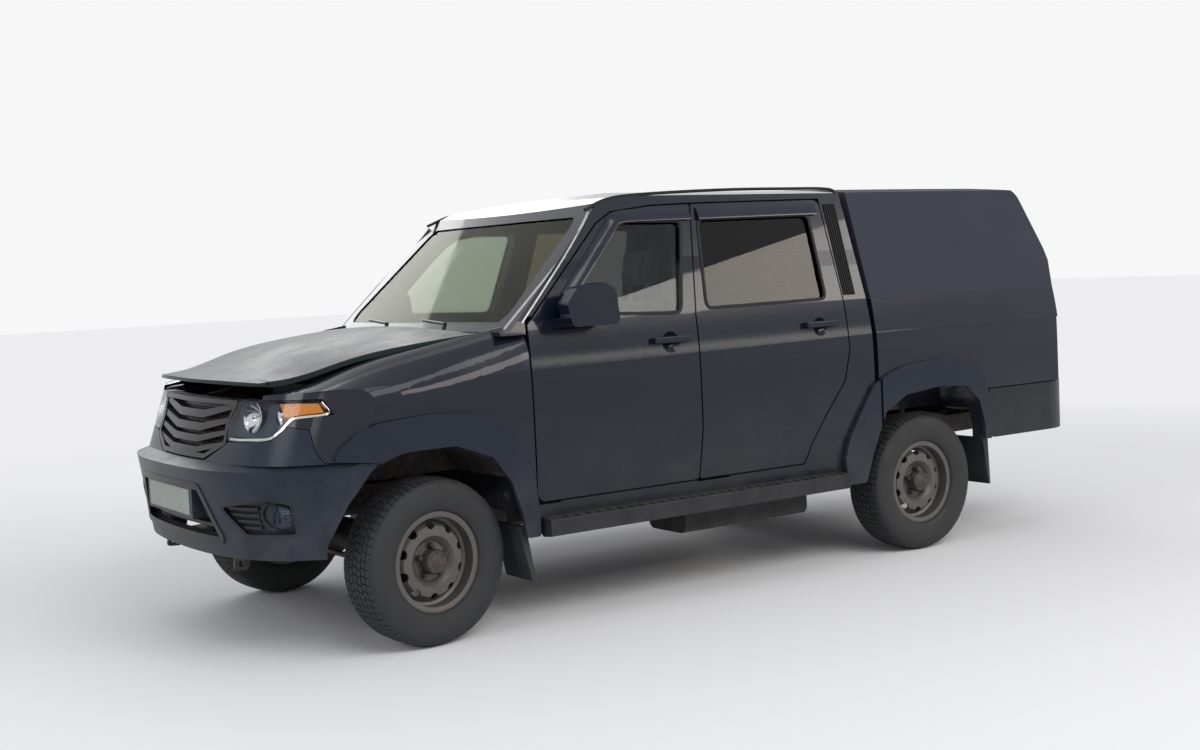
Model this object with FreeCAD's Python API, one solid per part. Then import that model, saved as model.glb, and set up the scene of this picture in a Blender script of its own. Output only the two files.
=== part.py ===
import FreeCAD, Part
import math
import os

# Four-door pickup truck with a hard canopy over its bed.
# Millimetres. +X is forward, +Y is the driver's left, +Z is up.
# The origin lies on the ground, halfway between the two bumpers.

# Overall
OVERALL_LENGTH = 5130
WHEELBASE = 3000
FRONT_OVERHANG = 855
TRACK = 1600
FRONT_END_X = OVERALL_LENGTH / 2
REAR_END_X = -OVERALL_LENGTH / 2
FRONT_AXLE_X = FRONT_END_X - FRONT_OVERHANG
REAR_AXLE_X = FRONT_AXLE_X - WHEELBASE
WHEEL_Y = TRACK / 2

# Clearances
SHUT_GAP = 8
MOVING_GAP = 6
SEAT_GAP = 0.3
RUNNING_GAP = 0.05

# Wheels
TYRE_RADIUS = 367
TYRE_WIDTH = 235
RIM_SEAT_RADIUS = 203
RIM_FLANGE_RADIUS = 220
RIM_WIDTH = 178
RIM_WALL = 7
WHEEL_OFFSET = 22
RIM_HOLES = 10
RIM_HOLE_CIRCLE = 162
RIM_HOLE_RADIUS = 22
RIM_HOLE_LIMIT = 169
HUB_BORE_RADIUS = 54
STUD_CIRCLE_RADIUS = 69.85
STUD_COUNT = 5

# Body side, as half widths at heights
BODY_BOTTOM_Z = 470
SHOULDER_Z = 1180
BELT_Z = 1380
GUTTER_Z = 1938
SILL_HALF_WIDTH = 915
WAIST_HALF_WIDTH = 936
SHOULDER_HALF_WIDTH = 930
BELT_HALF_WIDTH = 905
GUTTER_HALF_WIDTH = 765
ROOF_Z = 1988
CAB_REAR_TOP_X = -858
CAB_REAR_BASE_X = -920

# Thicknesses of the doors and cab walls
SKIN = 20
DOOR_THICKNESS = 100
DOOR_FRAME_THICKNESS = 44
WALL_THICKNESS = 145
PILLAR_THICKNESS = 74
ROOF_THICKNESS = 42
GLASS_THICKNESS = 5
GLASS_INSET = 14
LAP = 25
LAP_GAP = 12

# Door outlines, seen from the side
DOOR_BOTTOM_Z = 568
FRONT_DOOR_X = 1183
B_CUT_X = 232
REAR_DOOR_X = -740
HINGE_SETBACK = 55
HINGE_Y = 921
HINGE_PIN_RADIUS = 5
HINGE_EYE_RADIUS = 8
HINGE_ARM_HEIGHT = 40
HINGE_HEIGHTS = (740, 1060)
FRONT_SWING = [(DOOR_BOTTOM_Z - 14, 69), (SHOULDER_Z, 69), (BELT_Z + 20, 69)]
REAR_SWING = [(DOOR_BOTTOM_Z - 14, 100), (820, 74), (BELT_Z + 20, 72), (1530, 72), (1600, 46)]

# Windscreen
SCREEN_BASE_X = 1295
SCREEN_BASE_Z = 1352
SCREEN_SLOPE = 1.06
SCREEN_SAG = 36


def V(x, y, z):
    return FreeCAD.Vector(x, y, z)


def fillet_corner(before, corner, after, radius):
    """Two tangent points and the arc's middle for one rounded corner."""
    to_before = (before - corner).normalize()
    to_after = (after - corner).normalize()
    half = to_before.getAngle(to_after) / 2
    back = radius / math.tan(half)
    bisector = (to_before + to_after).normalize()
    centre = corner + bisector * (radius / math.sin(half))
    middle = centre - bisector * radius
    return corner + to_before * back, middle, corner + to_after * back


def rounded_wire(points, radii):
    """Closed wire through the points, each corner rounded by its radius."""
    count = len(points)
    if not isinstance(radii, (list, tuple)):
        radii = [radii] * count
    starts = []
    edges = []
    arcs = []
    for i, point in enumerate(points):
        radius = radii[i]
        before = points[i - 1]
        after = points[(i + 1) % count]
        straight = (point - before).getAngle(after - point) < 1e-4
        if radius <= 0 or straight:
            starts.append((point, point))
            arcs.append(None)
        else:
            first, middle, last = fillet_corner(before, point, after, radius)
            starts.append((first, last))
            arcs.append(Part.Arc(first, middle, last).toShape())
    for i in range(count):
        if arcs[i]:
            edges.append(arcs[i])
        start = starts[i][1]
        end = starts[(i + 1) % count][0]
        if start.distanceToPoint(end) > 1e-6:
            edges.append(Part.makeLine(start, end))
    return Part.Wire(Part.__sortEdges__(edges))


def prism(points, direction, radii=0):
    """Solid from a rounded outline pushed along a direction."""
    return Part.Face(rounded_wire(points, radii)).extrude(direction)


def side_prism(outline, y0, y1, radii=0):
    """Outline in X and Z, pushed from y0 to y1."""
    return prism([V(x, y0, z) for x, z in outline], V(0, y1 - y0, 0), radii)


def plan_prism(outline, z0, z1, radii=0):
    """Outline in X and Y, pushed from z0 to z1."""
    return prism([V(x, y, z0) for x, y in outline], V(0, 0, z1 - z0), radii)


def front_prism(outline, x0, x1, radii=0):
    """Outline in Y and Z, pushed from x0 to x1."""
    return prism([V(x0, y, z) for y, z in outline], V(x1 - x0, 0, 0), radii)


def block(x0, x1, y0, y1, z0, z1):
    return Part.makeBox(x1 - x0, y1 - y0, z1 - z0, V(x0, y0, z0))


def rod(start, end, radius):
    """Round bar between two points."""
    axis = end - start
    return Part.makeCylinder(radius, axis.Length, start, axis)


def tube_path(points, radius, bends):
    """Round bar along straight runs joined by arcs."""
    edges = []
    previous = points[0]
    for i in range(1, len(points) - 1):
        first, middle, last = fillet_corner(points[i - 1], points[i], points[i + 1], bends)
        edges.append(Part.makeLine(previous, first))
        edges.append(Part.Arc(first, middle, last).toShape())
        previous = last
    edges.append(Part.makeLine(previous, points[-1]))
    path = Part.Wire(edges)
    start = points[0]
    ring = Part.Wire(Part.makeCircle(radius, start, points[1] - points[0]))
    return path.makePipeShell([ring], True, True)


def spline(points):
    curve = Part.BSplineCurve()
    curve.interpolate(points)
    return curve.toShape()


def fuse(shapes):
    shapes = list(shapes)
    if len(shapes) == 1:
        return shapes[0]
    return shapes[0].multiFuse(shapes[1:]).removeSplitter()


def cut(shape, tools):
    for tool in tools:
        shape = shape.cut(tool)
    return shape


def mirrored(shape):
    """The same piece on the right-hand side."""
    return shape.mirror(V(0, 0, 0), V(0, 1, 0))


def turned(shape, centre, axis, degrees):
    copy = shape.copy()
    copy.rotate(centre, axis, degrees)
    return copy


def offset_outline(outline, distance):
    """Polygon moved outwards by a distance, or inwards when it is negative."""
    area = 0
    count = len(outline)
    for i in range(count):
        x0, y0 = outline[i]
        x1, y1 = outline[(i + 1) % count]
        area += x0 * y1 - x1 * y0
    sign = 1 if area > 0 else -1
    moved = []
    for i in range(count):
        xa, ya = outline[i - 1]
        xb, yb = outline[i]
        xc, yc = outline[(i + 1) % count]
        first = math.atan2(yb - ya, xb - xa)
        second = math.atan2(yc - yb, xc - xb)
        n1 = (math.sin(first) * sign, -math.cos(first) * sign)
        n2 = (math.sin(second) * sign, -math.cos(second) * sign)
        scale = 1 + n1[0] * n2[0] + n1[1] * n2[1]
        moved.append((xb + distance * (n1[0] + n2[0]) / scale, yb + distance * (n1[1] + n2[1]) / scale))
    return moved


parts = {}


def add(name, shape):
    parts[name] = shape


def add_pair(name, shape):
    """A left piece and its mirror image on the right."""
    add(name + "_left", shape)
    add(name + "_right", mirrored(shape))


# Wheel arch openings and the flares round them, seen from the side
FRONT_ARCH = [(2190, 380), (2184, 504), (2094, 684), (1985, 812), (1830, 866), (1600, 868),
              (1420, 800), (1325, 680), (1268, 500), (1250, 380)]
REAR_ARCH = [(-790, 380), (-880, 590), (-975, 780), (-1130, 858), (-1400, 884), (-1590, 866),
             (-1690, 780), (-1732, 640), (-1738, 380)]
ARCH_RADIUS = 90

FRONT_DOOR = [(FRONT_DOOR_X, DOOR_BOTTOM_Z), (B_CUT_X + 36, DOOR_BOTTOM_Z), (B_CUT_X + 8, 820),
              (B_CUT_X + 4, 1355), (B_CUT_X - 90, 1893), (390, 1885), (620, 1858), (712, 1806),
              (FRONT_DOOR_X, 1362)]
FRONT_DOOR_RADII = [45, 12, 0, 0, 14, 0, 60, 40, 12]
REAR_DOOR = [(B_CUT_X + 28, DOOR_BOTTOM_Z), (B_CUT_X, 820), (B_CUT_X - 4, 1355), (B_CUT_X - 98, 1893),
             (-705, 1903), (-737, 1355), (REAR_DOOR_X - 5, 1120), (-700, 965), (-560, 800),
             (-470, 680), (-411, DOOR_BOTTOM_Z)]
REAR_DOOR_RADII = [12, 0, 0, 14, 40, 0, 90, 90, 0, 0, 12]
FRONT_WINDOW = [(985, 1398), (316, 1372), (214, 1812), (560, 1816), (640, 1770)]
REAR_WINDOW = [(160, 1384), (112, 1818), (-615, 1826), (-622, 1392)]
WINDOW_RADIUS = 28


def section_wire(x, side_inset, frame_inset, roof_inset, bottom):
    """Cross-section of cab and doors: flank, leaning window band and crowned roof."""
    bottom_half = SILL_HALF_WIDTH - side_inset
    flank = [(bottom_half, bottom), (WAIST_HALF_WIDTH - side_inset, 760),
             (WAIST_HALF_WIDTH - side_inset, 960), (SHOULDER_HALF_WIDTH - side_inset, SHOULDER_Z),
             (BELT_HALF_WIDTH - side_inset, BELT_Z)]
    belt = BELT_HALF_WIDTH - frame_inset
    gutter = GUTTER_HALF_WIDTH - frame_inset
    gutter_z = GUTTER_Z - roof_inset
    edges = []
    for side in (1, -1):
        edges.append(spline([V(x, side * y, z) for y, z in flank]))
        if side_inset != frame_inset:
            edges.append(Part.makeLine(V(x, side * flank[-1][0], BELT_Z), V(x, side * belt, BELT_Z)))
        edges.append(Part.makeLine(V(x, side * belt, BELT_Z), V(x, side * gutter, gutter_z)))
    roof_arc = Part.Arc(V(x, -gutter, gutter_z), V(x, 0, ROOF_Z - roof_inset), V(x, gutter, gutter_z))
    edges.append(roof_arc.toShape())
    edges.append(Part.makeLine(V(x, -bottom_half, bottom), V(x, bottom_half, bottom)))
    return Part.Wire(Part.__sortEdges__(edges))


def section_body(side_inset, frame_inset, roof_inset, bottom=BODY_BOTTOM_Z, x0=-960, x1=1400):
    wire = section_wire(x0, side_inset, frame_inset, roof_inset, bottom)
    return Part.Face(wire).extrude(V(x1 - x0, 0, 0))


def ahead_of_screen(inset):
    """Everything in front of the windscreen's curved, sloping surface."""
    z = SCREEN_BASE_Z - 12
    x = SCREEN_BASE_X - inset + 12 * SCREEN_SLOPE
    side = 960
    arc = Part.Arc(V(x - SCREEN_SAG, -side, z), V(x, 0, z), V(x - SCREEN_SAG, side, z)).toShape()
    corners = [V(x - SCREEN_SAG, side, z), V(x + 900, side, z), V(x + 900, -side, z),
               V(x - SCREEN_SAG, -side, z)]
    wire = Part.Wire([arc] + [Part.makeLine(corners[i], corners[i + 1]) for i in range(3)])
    rise = 900
    return Part.Face(wire).extrude(V(-SCREEN_SLOPE * rise, 0, rise))


def cab_outline(rear_inset, roof_inset, bottom, front_x):
    return [(CAB_REAR_BASE_X + rear_inset, bottom), (CAB_REAR_BASE_X + 5 + rear_inset, SHOULDER_Z),
            (CAB_REAR_TOP_X + rear_inset, 1992 - roof_inset), (0, 1992 - roof_inset),
            (400, 1973 - roof_inset), (620, 1932 - roof_inset), (760, 1876 - roof_inset),
            (SCREEN_BASE_X - 10, SCREEN_BASE_Z + 25 - roof_inset), (front_x, SCREEN_BASE_Z - roof_inset),
            (front_x, bottom)]


CAB_FRONT_X = 1330
CAB_CORNER = [0, 0, 50, 0, 300, 300, 0, 0, 0, 0]


def cab_form(side_inset, frame_inset, roof_inset, rear_inset, bottom=BODY_BOTTOM_Z,
             front_x=CAB_FRONT_X, screen_inset=0):
    """The closed outer form of the cab, or the same form moved inwards."""
    form = section_body(side_inset, frame_inset, roof_inset, bottom)
    outline = cab_outline(rear_inset, roof_inset, bottom, front_x)
    form = form.common(side_prism(outline, -1000, 1000, CAB_CORNER))
    return form.cut(ahead_of_screen(screen_inset))


FLOOR_Z = 545
FLOOR_THICKNESS = 25
PILLAR_FOOT_Z = SCREEN_BASE_Z - 30
FIREWALL_X = 1225
FIREWALL_THICKNESS = 30
SILL_INNER_Y = 770
OUTER_CAB = cab_form(0, 0, 0, 0)
SKIN_DEPTH = SKIN + MOVING_GAP
SCREEN_FRAME = 62


def both_sides(shape):
    return [shape, mirrored(shape)]


def flank_curve(x, inset):
    """Flank from sill to belt, moved inwards by an inset."""
    points = [(SILL_HALF_WIDTH, BODY_BOTTOM_Z), (WAIST_HALF_WIDTH, 760), (WAIST_HALF_WIDTH, 960),
              (SHOULDER_HALF_WIDTH, SHOULDER_Z), (BELT_HALF_WIDTH, BELT_Z)]
    return spline([V(x, y - inset, z) for y, z in points])


def flank_layer(inner_inset, outer_inset=0, frame_inner=None, x0=-960, x1=1400):
    """Layer of the left flank between two depths below its surface."""
    if frame_inner is None:
        frame_inner = inner_inset
    lean = (BELT_HALF_WIDTH - GUTTER_HALF_WIDTH) / (GUTTER_Z - BELT_Z)
    top_z = GUTTER_Z + 10
    top_half = GUTTER_HALF_WIDTH - 10 * lean
    outer_belt = V(x0, BELT_HALF_WIDTH - outer_inset, BELT_Z)
    outer_top = V(x0, top_half - outer_inset, top_z)
    inner_top = V(x0, top_half - frame_inner, top_z)
    frame_belt = V(x0, BELT_HALF_WIDTH - frame_inner, BELT_Z)
    inner_belt = V(x0, BELT_HALF_WIDTH - inner_inset, BELT_Z)
    outer_foot = V(x0, SILL_HALF_WIDTH - outer_inset, BODY_BOTTOM_Z)
    inner_foot = V(x0, SILL_HALF_WIDTH - inner_inset, BODY_BOTTOM_Z)
    corners = [outer_belt, outer_top, inner_top, frame_belt, inner_belt]
    edges = [flank_curve(x0, outer_inset), flank_curve(x0, inner_inset),
             Part.makeLine(inner_foot, outer_foot)]
    for start, end in zip(corners, corners[1:]):
        if start.distanceToPoint(end) > 1e-6:
            edges.append(Part.makeLine(start, end))
    return Part.Face(Part.Wire(Part.__sortEdges__(edges))).extrude(V(x1 - x0, 0, 0))


SKIN_LAYER = flank_layer(SKIN)
DOOR_LAYER = flank_layer(DOOR_THICKNESS, 0, DOOR_FRAME_THICKNESS)
REBATE_LAYER = flank_layer(SKIN_DEPTH, -40)
OPENING_LAYER = flank_layer(DOOR_THICKNESS + 26, -40, DOOR_FRAME_THICKNESS + 8)
GLASS_LAYER = flank_layer(GLASS_INSET + GLASS_THICKNESS, GLASS_INSET)
THROUGH_LAYER = flank_layer(400, -40, 300)


def left_prism(outline, radii=0):
    return side_prism(outline, 200, 1100, radii)


def door_opening(outline, radii):
    """What the cab shell leaves free for one left-hand door."""
    rebate = REBATE_LAYER.common(left_prism(offset_outline(outline, SHUT_GAP)))
    opening = OPENING_LAYER.common(left_prism(offset_outline(outline, LAP_GAP - LAP)))
    doorway = THROUGH_LAYER.common(left_prism(offset_outline(outline, -LAP - 45), 30))
    return [rebate, opening, doorway]


def hinge_cavity(x, z):
    """Pocket in a door round one hinge arm, open to the front and inside."""
    half = HINGE_ARM_HEIGHT / 2 + 2
    return block(x - 22, x + 120, 700, HINGE_Y + HINGE_EYE_RADIUS + 2, z - half, z + half)


def hinge_arm(x, z):
    """Arm on the pillar with its upright pin."""
    half = HINGE_ARM_HEIGHT / 2
    eye = Part.makeCylinder(HINGE_EYE_RADIUS, HINGE_ARM_HEIGHT, V(x, HINGE_Y, z - half))
    arm = block(x - 8, x + 8, 780, HINGE_Y, z - half, z + half)
    pin = Part.makeCylinder(HINGE_PIN_RADIUS, 2 * HINGE_ARM_HEIGHT, V(x, HINGE_Y, z - 2 * half))
    return eye.fuse(arm).fuse(pin)


def swing_room(x, profile):
    """Space the door's leading edge sweeps as it turns in towards the pillar."""
    points = [V(x, HINGE_Y, profile[0][0])]
    points += [V(x + radius, HINGE_Y, z) for z, radius in profile]
    points.append(V(x, HINGE_Y, profile[-1][0]))
    return Part.Face(Part.makePolygon(points + [points[0]])).revolve(points[0], V(0, 0, 1), 360)


def hinge_bore(x, z):
    radius = HINGE_PIN_RADIUS + RUNNING_GAP
    return Part.makeCylinder(radius, 2 * HINGE_ARM_HEIGHT + 2, V(x, HINGE_Y, z - HINGE_ARM_HEIGHT - 1))


HANDLE_LENGTH = 220
HANDLE_HEIGHT = 30
HANDLE_STAND = 38


def handle(x0, z):
    """Pull handle: a bar on two feet over a dished cup in the skin."""
    y = SHOULDER_HALF_WIDTH - 12
    bar = block(x0, x0 + HANDLE_LENGTH, y + HANDLE_STAND - 14, y + HANDLE_STAND, z, z + HANDLE_HEIGHT)
    bar = bar.makeFillet(6, bar.Edges)
    feet = [block(x0 + 4, x0 + 34, y - 6, y + HANDLE_STAND - 8, z + 3, z + HANDLE_HEIGHT - 3),
            block(x0 + HANDLE_LENGTH - 34, x0 + HANDLE_LENGTH - 4, y - 6, y + HANDLE_STAND - 8, z + 3,
                  z + HANDLE_HEIGHT - 3)]
    return bar.fuse(feet[0]).fuse(feet[1])


def handle_cup(x0, z):
    centre = V(x0 + HANDLE_LENGTH / 2, SHOULDER_HALF_WIDTH + 92, z + HANDLE_HEIGHT / 2 - 4)
    return Part.makeSphere(110, centre)


def door(outline, radii, window, handle_x, handle_z, hinge_x):
    skin = SKIN_LAYER.common(left_prism(outline, radii))
    core = DOOR_LAYER.common(left_prism(offset_outline(outline, -LAP)))
    panel = skin.fuse(core)
    panel = panel.cut(left_prism(window, WINDOW_RADIUS))
    panel = panel.cut(handle_cup(handle_x, handle_z))
    panel = panel.fuse(handle(handle_x, handle_z))
    for z in HINGE_HEIGHTS:
        panel = cut(panel, [hinge_cavity(hinge_x, z), hinge_bore(hinge_x, z)])
    glass = GLASS_LAYER.common(left_prism(window, WINDOW_RADIUS))
    return panel, glass


FRONT_HINGE_X = FRONT_DOOR_X - HINGE_SETBACK
REAR_HINGE_X = B_CUT_X - 4 - HINGE_SETBACK

front_door, front_glass = door(FRONT_DOOR, FRONT_DOOR_RADII, FRONT_WINDOW, 292, 1235, FRONT_HINGE_X)
rear_door, rear_glass = door(REAR_DOOR, REAR_DOOR_RADII, REAR_WINDOW, -665, 1252, REAR_HINGE_X)
add_pair("door_front", front_door)
add_pair("door_rear", rear_door)
add_pair("door_glass_front", front_glass)
add_pair("door_glass_rear", rear_glass)


def cab_shell():
    inner = cab_form(WALL_THICKNESS, PILLAR_THICKNESS, ROOF_THICKNESS, 45, FLOOR_Z,
                     FIREWALL_X, SCREEN_FRAME)
    shell = OUTER_CAB.cut(inner)
    shell = shell.cut(block(-1000, FIREWALL_X + FIREWALL_THICKNESS, -SILL_INNER_Y, SILL_INNER_Y,
                            400, FLOOR_Z - FLOOR_THICKNESS))
    shell = shell.cut(block(FIREWALL_X + FIREWALL_THICKNESS, 1500, -1000, 1000, 400, 1290))
    for side in both_sides(block(FRONT_DOOR_X + 5, 1500, 790, 1000, 400, PILLAR_FOOT_Z)):
        shell = shell.cut(side)
    for outline, radii in ((FRONT_DOOR, FRONT_DOOR_RADII), (REAR_DOOR, REAR_DOOR_RADII)):
        for tool in door_opening(outline, radii):
            shell = cut(shell, both_sides(tool))
    for arch in both_sides(side_prism(REAR_ARCH, 520, 1000, ARCH_RADIUS)):
        shell = shell.cut(arch)
    for room in (swing_room(FRONT_HINGE_X, FRONT_SWING), swing_room(REAR_HINGE_X, REAR_SWING)):
        shell = cut(shell, both_sides(room))
    for x in (FRONT_HINGE_X, REAR_HINGE_X):
        for z in HINGE_HEIGHTS:
            shell = fuse([shell] + both_sides(hinge_arm(x, z)))
    return shell


# Windscreen, rear window and cowl
SCREEN_OPENING = [(800, 1374), (702, 1846), (-702, 1846), (-800, 1374)]
REAR_WINDOW_OPENING = [(600, 1460), (560, 1790), (-560, 1790), (-600, 1460)]
WINDOW_CORNER = 55


def screen_prism(outline):
    return front_prism(outline, 640, 1500, WINDOW_CORNER)


def rear_prism(outline):
    return front_prism(outline, -1000, -800, WINDOW_CORNER)


def cab_rear_slab(depth0, depth1):
    """Slice of the rear wall between two depths behind its outer face."""
    low, high = CAB_REAR_BASE_X + 5, CAB_REAR_TOP_X
    outline = [(low + depth0, SHOULDER_Z), (high + depth0, 1992), (high + depth1, 1992),
               (low + depth1, SHOULDER_Z)]
    return side_prism(outline, -900, 900)


windscreen = ahead_of_screen(GLASS_INSET).cut(ahead_of_screen(GLASS_INSET - GLASS_THICKNESS))
windscreen = windscreen.common(screen_prism(SCREEN_OPENING))
rear_window = cab_rear_slab(20, 20 + GLASS_THICKNESS).common(rear_prism(REAR_WINDOW_OPENING))
add("cab_glass", Part.makeCompound([windscreen, rear_window]))

shell = cab_shell().cut(screen_prism(SCREEN_OPENING).cut(block(0, 1500, -1000, 1000, 2000, 2100)))
add("cab_shell", shell.cut(rear_prism(REAR_WINDOW_OPENING)))

# Front of the body
NOSE_Z = 900
NOSE_LEAN = 0.33
NOSE_TOP_Z = 1240
NOSE_PLAN = [(2468, 0), (2456, 250), (2428, 500), (2388, 660), (2315, 780), (2200, 865), (2075, 918),
             (1960, 965), (1850, 1020)]
BUMPER_PLAN = [(2565, 0), (2556, 250), (2530, 450), (2478, 620), (2390, 760), (2270, 855),
               (2150, 912), (2040, 958), (1940, 1010)]
FENDER_SKIN = 12
FENDER_REAR_X = FRONT_DOOR_X + SHUT_GAP
HOOD_HINGE = V(1425, 0, 1315)
HOOD_AJAR = 3.4
HOOD_THICKNESS = 24
HOOD_HINGE_Y = 690
HOOD_EYE_WIDTH = 26
HOOD_EYE_RADIUS = 8
HOOD_PIN_RADIUS = 4
HOOD_LINE = [(1405, 803), (1700, 757), (2000, 697), (2200, 648), (2283, 620)]
HOOD_FRONT_X = 2302
HOOD_LIP_Z = 1117
LAMP_OUTLINE = [(-1340, 1110), (-1410, 1004), (-1396, 938), (-1148, 952), (-1084, 996),
                (-1045, 1034), (-880, 1050), (-925, 1112)]
LAMP_RADII = [6, 60, 12, 60, 40, 40, 6, 10]
GRILLE_OUTLINE = [(456, 1108), (414, 1010), (434, 925), (262, 856), (-262, 856), (-434, 925),
                  (-414, 1010), (-456, 1108)]


def nose_station(x, waist, crease, shoulder, edge, centre_z, inset):
    """Half-widths and heights of one cross-section of the front body."""
    flank = [(waist - inset, BODY_BOTTOM_Z), (waist - inset, 760), (waist - inset, 960),
             (crease[0] - inset, crease[1]), (shoulder[0] - inset, shoulder[1] - inset * 0.5),
             (edge[0] - inset * 0.4, edge[1] - inset)]
    edges = []
    for side in (1, -1):
        edges.append(spline([V(x, side * y, z) for y, z in flank]))
    y, z = flank[-1]
    edges.append(Part.Arc(V(x, -y, z), V(x, 0, centre_z - inset), V(x, y, z)).toShape())
    foot = flank[0][0]
    edges.append(Part.makeLine(V(x, -foot, BODY_BOTTOM_Z), V(x, foot, BODY_BOTTOM_Z)))
    order = [edges[3], edges[0], edges[2], edges[1]]
    return Part.Wire(order)


NOSE_STATIONS = [
    (1150, 936, (929, 1166), (905, 1290), (838, 1374), 1390),
    (1415, 936, (928, 1160), (893, 1262), (802, 1336), 1366),
    (1700, 936, (925, 1154), (878, 1232), (756, 1290), 1326),
    (2000, 936, (916, 1140), (856, 1186), (696, 1216), 1252),
    (2200, 936, (892, 1108), (838, 1136), (648, 1152), 1178),
    (2320, 936, (870, 1080), (815, 1110), (622, 1132), 1148),
    (2500, 936, (850, 1060), (790, 1076), (600, 1082), 1090),
]


def nose_loft(inset):
    return Part.makeLoft([nose_station(*s, inset) for s in NOSE_STATIONS], True, False)


def plan_curve(points, inset, z, shift=0):
    """Smooth symmetric curve across the front, moved rearwards by an inset."""
    left = []
    for i, (x, y) in enumerate(points):
        xa, ya = points[max(i - 1, 0)]
        xb, yb = points[min(i + 1, len(points) - 1)]
        if i == 0:
            normal = (1, 0)
        else:
            length = math.hypot(xb - xa, yb - ya)
            normal = ((yb - ya) / length, -(xb - xa) / length)
        left.append(V(x - inset * normal[0] + shift, y - inset * normal[1], z))
    right = [V(p.x, -p.y, z) for p in reversed(left[1:])]
    return spline(right + left), right[0], left[-1]


def front_prism_of(points, inset, z0, z1, lean, lean_z, rear_x=1000):
    """Everything behind a plan curve that leans back as it rises."""
    shift = -lean * (z0 - lean_z)
    curve, first, last = plan_curve(points, inset, z0, shift)
    corners = [last, V(rear_x, last.y, z0), V(rear_x, first.y, z0), first]
    edges = [curve] + [Part.makeLine(corners[i], corners[i + 1]) for i in range(3)]
    height = z1 - z0
    return Part.Face(Part.Wire(Part.__sortEdges__(edges))).extrude(V(-lean * height, 0, height))


def nose_prism(inset=0, z0=835, z1=NOSE_TOP_Z):
    return front_prism_of(NOSE_PLAN, inset, z0, z1, NOSE_LEAN, NOSE_Z)


LAMP_PUSH = 1500


def lamp_prism(outline, radii):
    """Outline seen from the front corner, pushed along the corner's diagonal."""
    half = math.sqrt(0.5)
    points = [V(-t * half, t * half, z) for t, z in outline]
    points = [p - V(LAMP_PUSH, LAMP_PUSH, 0) for p in points]
    return prism(points, V(2.3 * LAMP_PUSH, 2.3 * LAMP_PUSH, 0), radii)


NOSE = nose_loft(0)
NOSE_INNER = nose_loft(FENDER_SKIN)
LAMP_DEPTH = 110
LAMP_GAP = 3


def hood_region(grow, z0=1000, z1=1500):
    """Plan of the hood: lines to the fenders and a bowed front edge."""
    left = [(x, y + grow) for x, y in HOOD_LINE]
    right = [(x, -y) for x, y in reversed(left)]
    side_left = spline([V(x, y, z0) for x, y in left])
    side_right = spline([V(x, y, z0) for x, y in right])
    corner = left[-1]
    front = Part.Arc(V(corner[0] + grow, corner[1], z0), V(HOOD_FRONT_X + grow, 0, z0),
                     V(corner[0] + grow, -corner[1], z0)).toShape()
    rear = Part.makeLine(V(*right[-1], z0), V(*left[0], z0))
    edges = [side_left, front, side_right, rear]
    if grow:
        edges.append(Part.makeLine(V(*corner, z0), V(corner[0] + grow, corner[1], z0)))
        edges.append(Part.makeLine(V(corner[0] + grow, -corner[1], z0), V(*right[0], z0)))
    return Part.Face(Part.Wire(Part.__sortEdges__(edges))).extrude(V(0, 0, z1 - z0))


def hood_lip(inset):
    """Nose above the lamps, from just behind the hood's bowed line to its front face."""
    room = block(2200, 2500, -HOOD_LINE[-1][1], HOOD_LINE[-1][1], HOOD_LIP_Z, 1250)
    return nose_loft(inset).common(nose_prism(inset, 1000, 1300)).common(room)


def hood():
    panel = NOSE.cut(nose_loft(HOOD_THICKNESS)).common(hood_region(0))
    lip = hood_lip(0).cut(hood_lip(HOOD_THICKNESS))
    panel = panel.fuse(lip.cut(block(2200, 2290, -700, 700, 1000, 1300)))
    inner = block(1480, 2200, -520, 520, 900, 1500)
    ribs = [block(1480, 2200, y - 35, y + 35, 900, 1500) for y in (-260, 260)]
    ribs.append(block(1800, 1870, -520, 520, 900, 1500))
    hollow = nose_loft(8).cut(nose_loft(HOOD_THICKNESS + 10)).common(inner)
    panel = panel.cut(cut(hollow, ribs))
    for side in (1, -1):
        y = side * HOOD_HINGE_Y
        panel = panel.fuse(hood_rod(y, -HOOD_EYE_WIDTH / 2, HOOD_EYE_WIDTH / 2, HOOD_EYE_RADIUS))
        post = y + side * (HOOD_EYE_WIDTH + 4)
        panel = panel.cut(hood_rod(post, -HOOD_EYE_WIDTH / 2 - 3, HOOD_EYE_WIDTH / 2 + 5,
                                   HOOD_EYE_RADIUS + MOVING_GAP))
        panel = panel.cut(hood_rod(y, -HOOD_EYE_WIDTH, HOOD_EYE_WIDTH, HOOD_PIN_RADIUS + RUNNING_GAP))
    return panel


def hood_rod(y, y0, y1, radius):
    """Bar on the hood's hinge line."""
    return rod(V(HOOD_HINGE.x, y + y0, HOOD_HINGE.z), V(HOOD_HINGE.x, y + y1, HOOD_HINGE.z), radius)


def hood_posts():
    """Posts on the cowl with the two pins the hood turns on."""
    pieces = []
    for side in (1, -1):
        y = side * (HOOD_HINGE_Y + HOOD_EYE_WIDTH + 4)
        half = HOOD_EYE_WIDTH / 2
        post = block(HOOD_HINGE.x - 7, HOOD_HINGE.x + 7, y - half, y + half, 1245, HOOD_HINGE.z)
        pin = hood_rod(side * HOOD_HINGE_Y, -half if side > 0 else -1.6 * HOOD_EYE_WIDTH,
                       1.6 * HOOD_EYE_WIDTH if side > 0 else half, HOOD_PIN_RADIUS)
        pieces.append(fuse([post, hood_rod(y, -half, half, HOOD_EYE_RADIUS), pin]))
    return pieces


FENDER_OUTLINE = [(FENDER_REAR_X, BODY_BOTTOM_Z), (FENDER_REAR_X, 1420), (2420, 1420), (2420, 1040),
                  (2215, 991), (2207, 908), (2180, 853), (2000, 838), (1300, 700), (1290, BODY_BOTTOM_Z)]


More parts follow.
